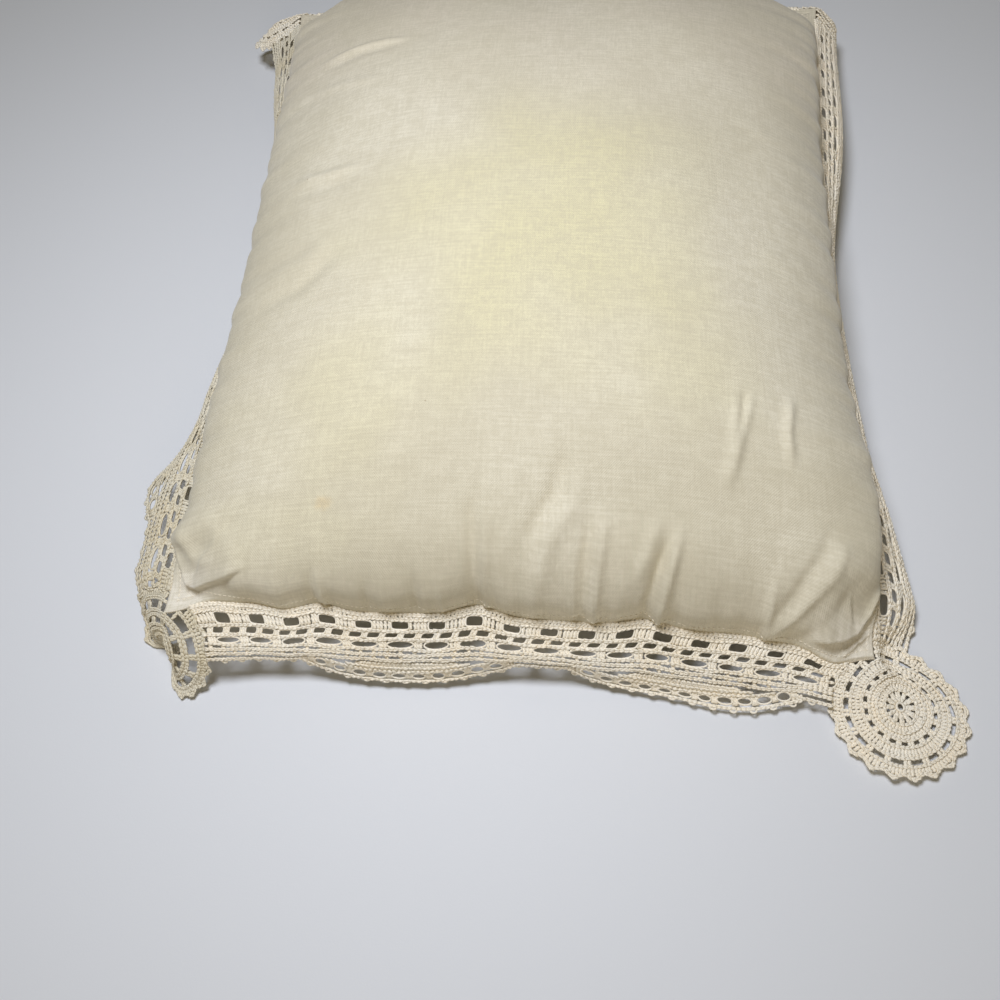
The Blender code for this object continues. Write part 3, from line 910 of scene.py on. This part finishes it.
# Folds that the filled cloth bulges over: each one's path as (u, v), and in mm its width, its height
# and how far it reaches inwards
LEDGES = (
    (
        (
            (-1.0, -0.78),
            (-0.975, -0.880),
            (-0.935, -0.945),
            (-0.900, -0.958),
            (-0.850, -0.952),
            (-0.790, -0.945),
            (-0.725, -0.928),
        ),
        0.9,
        4.8,
        14.0,
    ),
    (
        ((0.800, -0.990), (0.862, -0.966), (0.925, -0.948), (0.975, -0.915), (1.0, -0.85)),
        1.1,
        4.6,
        9.0,
    ),
    (((1.0, 0.86), (0.955, 0.930), (0.88, 0.975), (0.78, 1.0)), 1.8, 2.2, 10.0),
    (((-0.78, 1.0), (-0.88, 0.975), (-0.955, 0.930), (-1.0, 0.86)), 1.8, 2.2, 10.0),
)
LEDGE_FADE = 0.2
HEM_RIDGES = (1.3, 3.0)  # mm from the edge inwards, where the rolled hem stands up
HEM_RIDGE_HEIGHT = 0.30 * MM
HEM_RIDGE_WIDTH = 0.6 * MM
# Small waves at right angles to the hem: length in mm, phase and height in mm
PUCKERS = ((31.0, 0.4, 1.3), (19.0, 1.9, 1.0), (11.0, 0.9, 0.45))
PUCKER_REACH = 26.0 * MM
PUCKER_START = (2.0 * MM, 12.0 * MM)  # from the edge, where the puckers begin and are full
# Long slow waves over the whole cloth: direction, length in metres and height in mm
SWELLS = ((0.9, 0.5, 0.093, 0.30), (-0.6, 0.8, 0.067, 0.16), (0.9, -0.2, 0.049, 0.12))
# The filled cloth swells over its hem: how far near the ends and along the sides, how far up the cloth
# it does so most, and over what distance
HEM_BULGE = 2.0 * MM
SIDE_SWELL = 0.6 * MM
BULGE_PLACE = 19.0 * MM
BULGE_SPREAD = 10.0 * MM
# The near edging's scallops stand out from the cushion beyond this place, and its edge lifts: how far
# for each metre beyond it, and how far between the scallops
FLARE_START = 18.0 * MM
FLARE = 0.26
SCALLOP_LIFT = 0.12
GAP_LIFT = 4.0 * MM
# The right edging spreads out from under the cushion close to its near corner: how far, and between
# which places along the side it comes and goes
SPREAD = 4.5 * MM
SPREAD_COMES = (-0.48, -0.72)
SPREAD_GOES = (-0.985, -0.90)
# The near hem's peaks, and its dips where the size is negative: the place from -1 to 1 and the size
HEM_PEAKS = (
    (-0.87, 1.15),
    (-0.745, 1.0),
    (-0.555, 1.0),
    (-0.105, 1.15),
    (0.357, 0.8),
    (0.62, 0.35),
    (0.885, -1.2),
)
PEAK_WIDTH = 0.075
PEAK_PUSH = 4.5 * MM  # inwards and up, for a peak of size 1
PEAK_LIFT = 2.2 * MM
PEAK_FADE = (9.0 * MM, 14.0 * MM)  # how quickly a peak fades up the cloth and down the edging

STITCH_LINE = 6.2 * MM  # from the edge of the hem to its machine stitching
STITCH_PITCH = 2.7 * MM
STITCH_LENGTH = 1.7 * MM
STITCH_THREAD = 0.20 * MM
STITCH_LIFT = 0.18 * MM
STITCH_SINK = -0.10 * MM


def grid_lines(count):
    """count + 1 lines from -1 to 1, crowded towards the ends."""
    line = np.linspace(-1.0, 1.0, count + 1)
    return np.sign(line) * (1.0 - (1.0 - np.abs(line)) ** EDGE_CROWDING)


def grid_normals(points):
    """The direction square to a grid of points at each of them."""
    return unit(np.cross(np.gradient(points, axis=1), np.gradient(points, axis=0)))


def near_path(x, y, path):
    """How far a place is from a path in the plan, how far along the path its nearest point is, as a
    share, and the side of the path on which it lies: 1 on its left, -1 on its right."""
    path = np.array([seam_plan(*point) for point in path])
    run = run_along(path)
    nearest, share, side = np.full(x.shape, np.inf), 0.0 * x, 0.0 * x
    for start, way, passed in zip(path, np.diff(path, axis=0), run):
        length = np.linalg.norm(way)
        ahead_x, ahead_y = way / length
        from_x, from_y = x - start[0], y - start[1]
        at = np.clip(from_x * ahead_x + from_y * ahead_y, 0.0, length)
        away = np.hypot(from_x - ahead_x * at, from_y - ahead_y * at)
        closer = away < nearest
        share = np.where(closer, (passed + at) / run[-1], share)
        side = np.where(closer, np.sign(ahead_x * from_y - ahead_y * from_x), side)
        nearest = np.minimum(away, nearest)
    return nearest, share, side


def faded(share, fade):
    """1 along a path and 0 at its two ends."""
    return smooth(0.0, fade, share) * smooth(0.0, fade, 1.0 - share)


def crease(x, y, path, width, height):
    """A ridge, or a groove where height is negative, that dies out towards the ends of its path."""
    away, share, _ = near_path(x, y, path)
    return height * faded(share, CREASE_FADE) * np.exp(-((away / width) ** 2))


def ledge(x, y, path, width, height, reach):
    """Cloth that bulges over a fold: it rises sharply on the left of the path and then sinks away."""
    away, share, side = near_path(x, y, path)
    signed = away * side
    rise = smooth(-width, width, signed) * np.exp(-np.maximum(signed, 0.0) / reach)
    return height * faded(share, LEDGE_FADE) * rise


def dent(u, v, centre, size, depth):
    """A broad hollow, or a rise where depth is negative."""
    away = ((u - centre[0]) / size[0]) ** 2 + ((v - centre[1]) / size[1]) ** 2
    return -depth * np.exp(-away)


def hem_distance(top):
    """How far each point of the grid is from the nearest edge, along the cloth."""
    columns = top.transpose(1, 0, 2)
    from_left, from_right = run_along(top), run_along(top[:, ::-1])[:, ::-1]
    from_near, from_far = run_along(columns).T, run_along(columns[:, ::-1])[:, ::-1].T
    return np.minimum(np.minimum(from_left, from_right), np.minimum(from_near, from_far))


def relief(u, v, edge):
    """How far the cloth stands off its smooth form, in metres: dents, creases and the ridged hem."""
    x, y = seam_plan(u, v)
    raised = 0.0 * u
    for path, width, height in CREASES:
        raised = raised + crease(x, y, path, width * MM, height * MM)
    for path, width, height, reach in LEDGES:
        raised = raised + ledge(x, y, path, width * MM, height * MM, reach * MM)
    for centre, size, depth in DENTS:
        raised = raised + dent(u, v, centre, size, depth * MM)
    for ridge in HEM_RIDGES:
        raised = raised + HEM_RIDGE_HEIGHT * np.exp(-(((edge - ridge * MM) / HEM_RIDGE_WIDTH) ** 2))
    swell = SIDE_SWELL + (HEM_BULGE - SIDE_SWELL) * np.abs(v) ** 6
    raised = raised + swell * np.exp(-(((edge - BULGE_PLACE) / BULGE_SPREAD) ** 2))
    along = np.where(HALF_WIDTH * (1.0 - np.abs(u)) < HALF_LENGTH * (1.0 - np.abs(v)), y, x)
    fade = np.exp(-edge / PUCKER_REACH) * smooth(*PUCKER_START, edge)
    for pitch, phase, height in PUCKERS:
        pucker = np.cos(2.0 * math.pi * along / (pitch * MM) + phase + 3.0 * u * v)
        raised = raised + height * MM * pucker * fade
    for turn_x, turn_y, pitch, height in SWELLS:
        place = (x * turn_x + y * turn_y) / pitch * 2.0 * math.pi + 5.0 * turn_x
        raised = raised + height * MM * np.sin(place)
    return raised * smooth(0.0, 1.0 * MM, edge)


def hem_wave(x, y, z):
    """The near hem's peaks, shared by the cotton and its edging: pushed inward and lifted a little."""
    inward = y + HALF_LENGTH - END_DRAW_IN * (1.0 - (x / HALF_WIDTH) ** 2)
    fade_up, fade_down = PEAK_FADE
    reach = np.exp(-np.maximum(inward, 0.0) / fade_up - np.maximum(-inward, 0.0) / fade_down)
    peak = 0.0 * x
    for place, size in HEM_PEAKS:
        peak = peak + size * np.exp(-(((x / HALF_WIDTH - place) / PEAK_WIDTH) ** 2))
    return y + PEAK_PUSH * peak * reach, z + PEAK_LIFT * peak * reach


def flared(points, along, out):
    """The near edging's scallops stand out from the cushion, and its edge lifts between them."""
    depth = scallop_depth("near", along) / SCALLOP_DEPTH
    beyond = np.maximum(out - FLARE_START, 0.0) * depth
    lift = GAP_LIFT * smooth(0.4 * BAND_WIDTH, BAND_WIDTH, out) * (1.0 - depth)
    return points + stacked(0.0, -FLARE * beyond, lift + SCALLOP_LIFT * beyond)


def spread(points, along, out):
    """The right edging spreads outwards close to its near corner."""
    place = along / HALF_LENGTH
    push = SPREAD * smooth(*SPREAD_COMES, place) * smooth(*SPREAD_GOES, place)
    return points + stacked(push * smooth(0.0, 0.6 * BAND_WIDTH, out), 0.0, 0.0)


def waved(points):
    """The points after the near hem's peaks have moved them, none of them lower than the floor."""
    y, z = hem_wave(points[..., 0], points[..., 1], points[..., 2])
    return stacked(points[..., 0], y, np.maximum(z, FLOOR_SKIN))


def cotton_top():
    """The grid of points of the cotton's upper side, with all its folds."""
    u, v = np.meshgrid(grid_lines(TOP_COLUMNS), grid_lines(TOP_ROWS))
    top = cushion_top(u, v)
    return waved(top + grid_normals(top) * relief(u, v, hem_distance(top))[..., None])


def grid_faces(index):
    """The four-sided faces of a grid of vertex numbers."""
    corners = (index[:-1, :-1], index[:-1, 1:], index[1:, 1:], index[1:, :-1])
    return stacked(*corners).reshape(-1, 4).tolist()


def grid_rim(index):
    """The points once round a grid, the same way for every grid."""
    return np.concatenate([index[0, :-1], index[:-1, -1], index[-1, :0:-1], index[:0:-1, 0]])


def cotton_mesh(top):
    """The top, a coarser underside, and the edge that joins them, as vertices, faces and flat places."""
    line_u, line_v = grid_lines(TOP_COLUMNS), grid_lines(TOP_ROWS)
    u, v = np.meshgrid(line_u, line_v)
    low_u, low_v = np.meshgrid(line_u[::UNDER_STEP], line_v[::UNDER_STEP])
    under = waved(cushion_underside(low_u, low_v))
    index = np.arange(u.size).reshape(u.shape)
    low_index = u.size + np.arange(low_u.size).reshape(low_u.shape)
    # Each corner of the coarse rim lies under one of the fine rim, with the finer ones between them
    rim, low_rim = grid_rim(index), grid_rim(low_index)
    wall = []
    for at, low in enumerate(low_rim):
        fine = [rim[(at * UNDER_STEP + step) % len(rim)] for step in range(UNDER_STEP + 1)]
        wall.append([low, low_rim[(at + 1) % len(low_rim)], *fine[::-1]])
    faces = grid_faces(index) + grid_faces(low_index.T) + wall
    places = np.concatenate([top.reshape(-1, 3), under.reshape(-1, 3)])
    flat = [stacked(a * HALF_WIDTH, b * HALF_LENGTH).reshape(-1, 2) for a, b in ((u, v), (low_u, low_v))]
    return places, faces, np.concatenate(flat)


def build_cushion(material, top):
    """The filled cotton, as one closed piece."""
    places, faces, flat = cotton_mesh(top)
    mesh = bpy.data.meshes.new("cotton_cushion")
    mesh.from_pydata(places.tolist(), [], faces)
    mesh.update()
    corners = np.zeros(len(mesh.loops), np.int32)
    mesh.loops.foreach_get("vertex_index", corners)
    piece = finish_piece(mesh, "cloth", flat[corners], material)
    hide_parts("cushion")
    return piece


def line_inside(lines, distance):
    """The points this far along the cloth from the start of each grid line."""
    return np.array([at_distance(line, run_along(line), distance) for line in lines])


def build_stitches(material, top):
    """The hem's row of machine stitches, as short threads that lie on the cloth along all four sides."""
    columns = top.transpose(1, 0, 2)
    stitches = []
    for lines in (columns, top[:, ::-1], columns[::-1, ::-1], top[::-1]):
        outer, inner = (line_inside(lines, STITCH_LINE + further) for further in (0.0, 1.0 * MM))
        run = run_along(outer)
        starts = np.arange(STITCH_LINE, run[-1] - STITCH_LINE, STITCH_PITCH)
        at = starts[:, None] + np.array([0.0, 0.35, 0.65, 1.0]) * STITCH_LENGTH
        centre = at_distance(outer, run, at)
        inward = at_distance(inner - outer, run, at)
        normal = unit(np.cross(centre[:, -1:] - centre[:, :1], inward))
        lift = np.array([STITCH_SINK, STITCH_LIFT, STITCH_LIFT, STITCH_SINK])
        stitches.append(centre + normal * lift[:, None])
    thread = Thread()
    thread.add(np.concatenate(stitches), STITCH_THREAD)

    def place(x, y):
        return stacked(x, y, 0.0)

    return thread_piece("cotton_hem_stitches", thread, place, -1.0, material)


# ---- Materials ----

# Where the cotton has yellowed, in metres on the flat cloth: centre, size and strength
YELLOWED = (
    ((0.015, -0.045, 0.0), (0.145, 0.125), 0.85),
    ((-0.095, -0.150, 0.0), (0.080, 0.065), 0.42),
    ((0.095, -0.120, 0.0), (0.050, 0.070), 0.35),
    ((-0.120, -0.210, 0.0), (0.060, 0.030), 0.30),
)
# Painted light: where the cloth is painted paler on the flat flaps at the two near corners: centre and
# size
PAINTED_LIGHT_FLAPS = (
    ((-0.182, -0.234, 0.0), (0.034, 0.024)),
    ((0.182, -0.236, 0.0), (0.040, 0.022)),
)
GREY_BEIGE = (0.73, 0.655, 0.475, 1.0)
PALE_CREAM = (0.83, 0.755, 0.575, 1.0)
YELLOW_CREAM = (0.79, 0.71, 0.405, 1.0)
# The paler colour of the near corner flaps, as painted light
FLAP_PAINTED_LIGHT = (0.93, 0.86, 0.72, 1.0)
PINK_CREAM = (0.82, 0.725, 0.56, 1.0)
ECRU = (0.97, 0.865, 0.675, 1.0)
PALE_ECRU = (0.99, 0.91, 0.75, 1.0)
PAINTED_SHADE_ECRU = (0.76, 0.67, 0.48, 1.0)  # a darker, greyer copy of the ecru, as painted shade on the edging of the left side and its near corner
PALE_PAINTED_SHADE_ECRU = (0.80, 0.73, 0.57, 1.0)
SHADED_THREAD = (0.60, 0.53, 0.37, 1.0)
SCORCHED = (0.80, 0.55, 0.23, 1.0)
SEED_BROWN = (0.30, 0.19, 0.09, 1.0)
FLOOR_GREY = (0.75, 0.75, 0.745, 1.0)
SCORCH_PLACE = (-0.1005, -0.2020, 0.0)
SCORCH_SIZE = (0.007, 0.0045)
THREAD_PITCH = 0.62 * MM  # of the plain weave


class Nodes:
    """The nodes of one material. Most methods add one and give the socket with its result."""

    def __init__(self, name):
        self.material = bpy.data.materials.new(name)
        self.material.use_nodes = True
        self.tree = self.material.node_tree
        self.shader = self.tree.nodes["Principled BSDF"]

    def put(self, socket, value):
        """Another node's result, or a constant, goes into a socket."""
        if isinstance(value, bpy.types.NodeSocket):
            self.tree.links.new(value, socket)
        else:
            socket.default_value = value

    def shade(self, **values):
        """Results or constants go into the shader's own sockets."""
        for name, value in values.items():
            self.put(self.shader.inputs[name.replace("_", " ")], value)
        return self.material

    def add(self, kind, inputs=None, **settings):
        node = self.tree.nodes.new("ShaderNode" + kind)
        for key, value in settings.items():
            setattr(node, key, value)
        for key, value in (inputs or {}).items():
            self.put(node.inputs[key], value)
        return node

    def mix(self, share, first, second):
        """The colour at this share of the way from the first to the second."""
        node = self.add("Mix", data_type="RGBA")
        sockets = {socket.identifier: socket for socket in (*node.inputs, *node.outputs)}
        for name, value in (("Factor_Float", share), ("A_Color", first), ("B_Color", second)):
            self.put(sockets[name], value)
        return sockets["Result_Color"]

    def ramp(self, value, low, high, to_low=0.0, to_high=1.0):
        """A value's smooth share of the way from low to high, as to_low to to_high."""
        inputs = {"Value": value, "From Min": low, "From Max": high, "To Min": to_low, "To Max": to_high}
        return self.add("MapRange", inputs, interpolation_type="SMOOTHSTEP").outputs[0]

    def times(self, first, second):
        return self.add("Math", {0: first, 1: second}, operation="MULTIPLY").outputs[0]

    def plus(self, first, second):
        return self.add("Math", {0: first, 1: second}, operation="ADD").outputs[0]

    def sine(self, value):
        return self.add("Math", {0: value}, operation="SINE").outputs[0]

    def noise(self, place, scale, detail=2.0, stretch=None):
        """Noise at a scale, or at one scale for each direction, where stretch gives them."""
        if stretch:
            place = self.add("Mapping", {"Vector": place, "Scale": stretch}).outputs[0]
        return self.add("TexNoise", {"Vector": place, "Scale": scale, "Detail": detail}).outputs[0]

    def spot(self, place, centre, size, soft=1.0):
        """1 at a centre given in metres on the flat cloth and 0 beyond its size, with a ragged edge."""
        inputs = {"Vector": place, "Location": centre, "Scale": (*size, 1.0)}
        moved = self.add("Mapping", inputs, vector_type="TEXTURE").outputs[0]
        away = self.add("VectorMath", {0: moved}, operation="LENGTH").outputs["Value"]
        ragged = self.times(self.noise(place, 1.6 / max(size)), soft)
        return self.ramp(self.plus(away, ragged), 0.1 + 0.5 * soft, 1.0 + 0.5 * soft, 1.0, 0.0)

    def bump(self, height, strength, distance):
        inputs = {"Height": height, "Strength": strength, "Distance": distance}
        return self.add("Bump", inputs).outputs[0]


def cloth_colour(nodes, cloth, streaks):
    """Cream cotton: its broad tones, its spots, the painted light on its near corner flaps, and then the
    slubs and flecks of its thread.
    """
    colour = nodes.mix(nodes.ramp(nodes.noise(cloth, 9.0, 3.0), 0.35, 0.65), GREY_BEIGE, PALE_CREAM)
    for centre, size, strength in YELLOWED:
        share = nodes.times(nodes.spot(cloth, centre, size), strength)
        colour = nodes.mix(share, colour, YELLOW_CREAM)
    far = nodes.add("SeparateXYZ", {"Vector": cloth}).outputs["Y"]
    patches = nodes.ramp(nodes.noise(cloth, 14.0), 0.3, 0.7, 0.3, 0.9)
    colour = nodes.mix(nodes.times(nodes.ramp(far, 0.02, 0.16), patches), colour, PINK_CREAM)
    # Painted light: the flat flaps at the two near corners are painted paler
    for centre, size in PAINTED_LIGHT_FLAPS:
        colour = nodes.mix(nodes.spot(cloth, centre, size, 0.4), colour, FLAP_PAINTED_LIGHT)
    scorch = nodes.times(nodes.spot(cloth, SCORCH_PLACE, SCORCH_SIZE), 0.45)
    colour = nodes.mix(scorch, colour, SCORCHED)
    mottle = nodes.plus(nodes.noise(cloth, 130.0, 3.0), nodes.noise(cloth, 420.0))
    for shade, low, high, most in ((mottle, 0.78, 1.22, 0.34), (streaks, 0.38, 0.62, 0.40)):
        colour = nodes.mix(nodes.ramp(shade, low, high, most, 0.0), colour, SHADED_THREAD)
    flecks = nodes.add("TexVoronoi", {"Vector": cloth, "Scale": 42.0, "Randomness": 1.0}).outputs
    picked = nodes.add("SeparateColor", {"Color": flecks["Color"]}).outputs[0]
    dot = nodes.ramp(flecks["Distance"], 0.008, 0.026, 1.0, 0.0)
    fleck = nodes.times(dot, nodes.ramp(picked, 0.72, 0.82))
    return nodes.mix(nodes.times(fleck, 0.55), colour, SEED_BROWN)


def cotton_material():
    nodes = Nodes("unbleached_cotton")
    cloth = nodes.add("UVMap", uv_map="cloth").outputs[0]
    # Slubs: long fine streaks along the weft and the warp
    weft = nodes.noise(cloth, 1.0, 3.0, stretch=(42.0, 850.0, 1.0))
    warp = nodes.noise(cloth, 1.0, 3.0, stretch=(850.0, 50.0, 1.0))
    streaks = nodes.plus(nodes.times(weft, 0.6), nodes.times(warp, 0.4))
    # The weave itself: weft and warp threads that pass over each other by turns
    parts = nodes.add("SeparateXYZ", {"Vector": cloth}).outputs
    over = nodes.times(*(nodes.sine(nodes.times(parts[axis], math.pi / THREAD_PITCH)) for axis in "XY"))
    height = nodes.plus(nodes.times(over, 0.35), nodes.times(streaks, 1.6))
    height = nodes.plus(height, nodes.times(nodes.noise(cloth, 2600.0), 0.8))
    return nodes.shade(
        Base_Color=cloth_colour(nodes, cloth, streaks),
        Normal=nodes.bump(height, 0.55, 0.34 * MM),
        Roughness=nodes.ramp(streaks, 0.3, 0.7, 0.86, 0.70),
        Sheen_Weight=0.18,
        Sheen_Roughness=0.5,
    )


def crochet_material(name, first, second):
    nodes = Nodes(name)
    thread = nodes.add("UVMap", uv_map="thread").outputs[0]
    tone = nodes.noise(nodes.add("TexCoord").outputs["Object"], 60.0)
    share = nodes.add("MapRange", {"Value": tone, "From Min": 0.35, "From Max": 0.65}).outputs[0]
    # The plies of the thread, as bands that run slantwise round it
    stretched = nodes.add("Mapping", {"Vector": thread, "Scale": (900.0, 1.0, 1.0)}).outputs[0]
    ply = nodes.add("TexWave", {"Vector": stretched, "Scale": 1.0}, bands_direction="DIAGONAL")
    return nodes.shade(
        Base_Color=nodes.mix(share, first, second),
        Normal=nodes.bump(ply.outputs["Fac"], 0.4, 0.2 * MM),
        Roughness=0.85,
    )


def floor_material():
    nodes = Nodes("pale_table")
    grain = nodes.noise(nodes.add("TexCoord").outputs["Object"], 900.0)
    return nodes.shade(Base_Color=FLOOR_GREY, Normal=nodes.bump(grain, 0.1, 0.3 * MM), Roughness=0.6)


# ---- Floor, light and camera ----

FLOOR_HALF = 3.0
# Each light: its place, the point that it shines at, its size, power and colour
LIGHTS = {
    "ceiling_light": ((-0.108, -0.143, 0.87), (-0.01, -0.08, 0.0), 0.26, 6.85, (0.83, 0.88, 1.0)),
    "front_fill": ((0.35, -1.85, 0.80), (0.0, -0.20, 0.0), 1.00, 5.6, (1.0, 0.91, 0.80)),
}
WORLD_COLOUR = (1.0, 0.86, 0.50, 1.0)
WORLD_STRENGTH = 0.09

CAMERA_PLACE = (0.0371, -0.4315, 0.5369)
CAMERA_DOWN = 61.67  # degrees below the level
CAMERA_TURN = 10.638  # degrees to the left of straight ahead
CAMERA_ROLL = -7.676
CAMERA_LENS = 36.0


def add_floor():
    mesh = bpy.data.meshes.new("floor")
    corners = [(x * FLOOR_HALF, y * FLOOR_HALF, 0.0) for x, y in ((-1, -1), (1, -1), (1, 1), (-1, 1))]
    mesh.from_pydata(corners, [], [(0, 1, 2, 3)])
    mesh.materials.append(floor_material())
    add_object("floor", mesh)


def add_area_light(name, place, aim, size, power, colour):
    light = bpy.data.lights.new(name, "AREA")
    light.shape = "DISK"
    light.size = size
    light.energy = power
    light.color = colour
    way_x, way_y, way_z = np.array(aim) - np.array(place)
    lamp = add_object(name, light)
    lamp.location = place
    lamp.rotation_euler = (math.atan2(math.hypot(way_x, way_y), -way_z), 0.0, math.atan2(-way_x, way_y))


def add_lights():
    for name, settings in LIGHTS.items():
        add_area_light(name, *settings)
    world = bpy.context.scene.world or bpy.data.worlds.new("world")
    bpy.context.scene.world = world
    world.use_nodes = True
    background = world.node_tree.nodes["Background"]
    background.inputs["Color"].default_value = WORLD_COLOUR
    background.inputs["Strength"].default_value = WORLD_STRENGTH
    bpy.context.scene.view_settings.view_transform = "Standard"


def add_camera():
    down, turn, roll = (math.radians(value) for value in (CAMERA_DOWN, CAMERA_TURN, CAMERA_ROLL))
    ahead = np.array([-math.sin(turn) * math.cos(down), math.cos(turn) * math.cos(down), -math.sin(down)])
    level = np.array([math.cos(turn), math.sin(turn), 0.0])
    up = np.cross(level, ahead)
    right = level * math.cos(roll) + up * math.sin(roll)
    over = -level * math.sin(roll) + up * math.cos(roll)
    camera = add_object("camera", bpy.data.cameras.new("camera"))
    camera.data.lens = CAMERA_LENS
    camera.data.sensor_width = 36.0
    camera.data.clip_start = 0.01
    placed = np.eye(4)
    placed[:3] = stacked(right, over, -ahead, CAMERA_PLACE)
    camera.matrix_world = Matrix(placed.tolist())
    bpy.context.scene.camera = camera


def main():
    add_camera()
    add_floor()
    add_lights()
    top = cotton_top()
    build_cushion(cotton_material(), top)
    crochet = crochet_material("ecru_crochet_thread", ECRU, PALE_ECRU)
    # Painted shade: a darker copy of the crochet for the edging of the left side and its near corner
    shade_painted_crochet = crochet_material("painted_shade_crochet_thread", PAINTED_SHADE_ECRU, PALE_PAINTED_SHADE_ECRU)
    build_stitches(crochet, top)
    rng = np.random.default_rng(SEED)
    for side in SIDES:
        ground, border = build_strip(side, shade_painted_crochet if side == "left" else crochet, rng)
    for corner in CORNERS:
        base, rings = build_medallion(corner, shade_painted_crochet if corner == "near_left" else crochet, rng)


main()
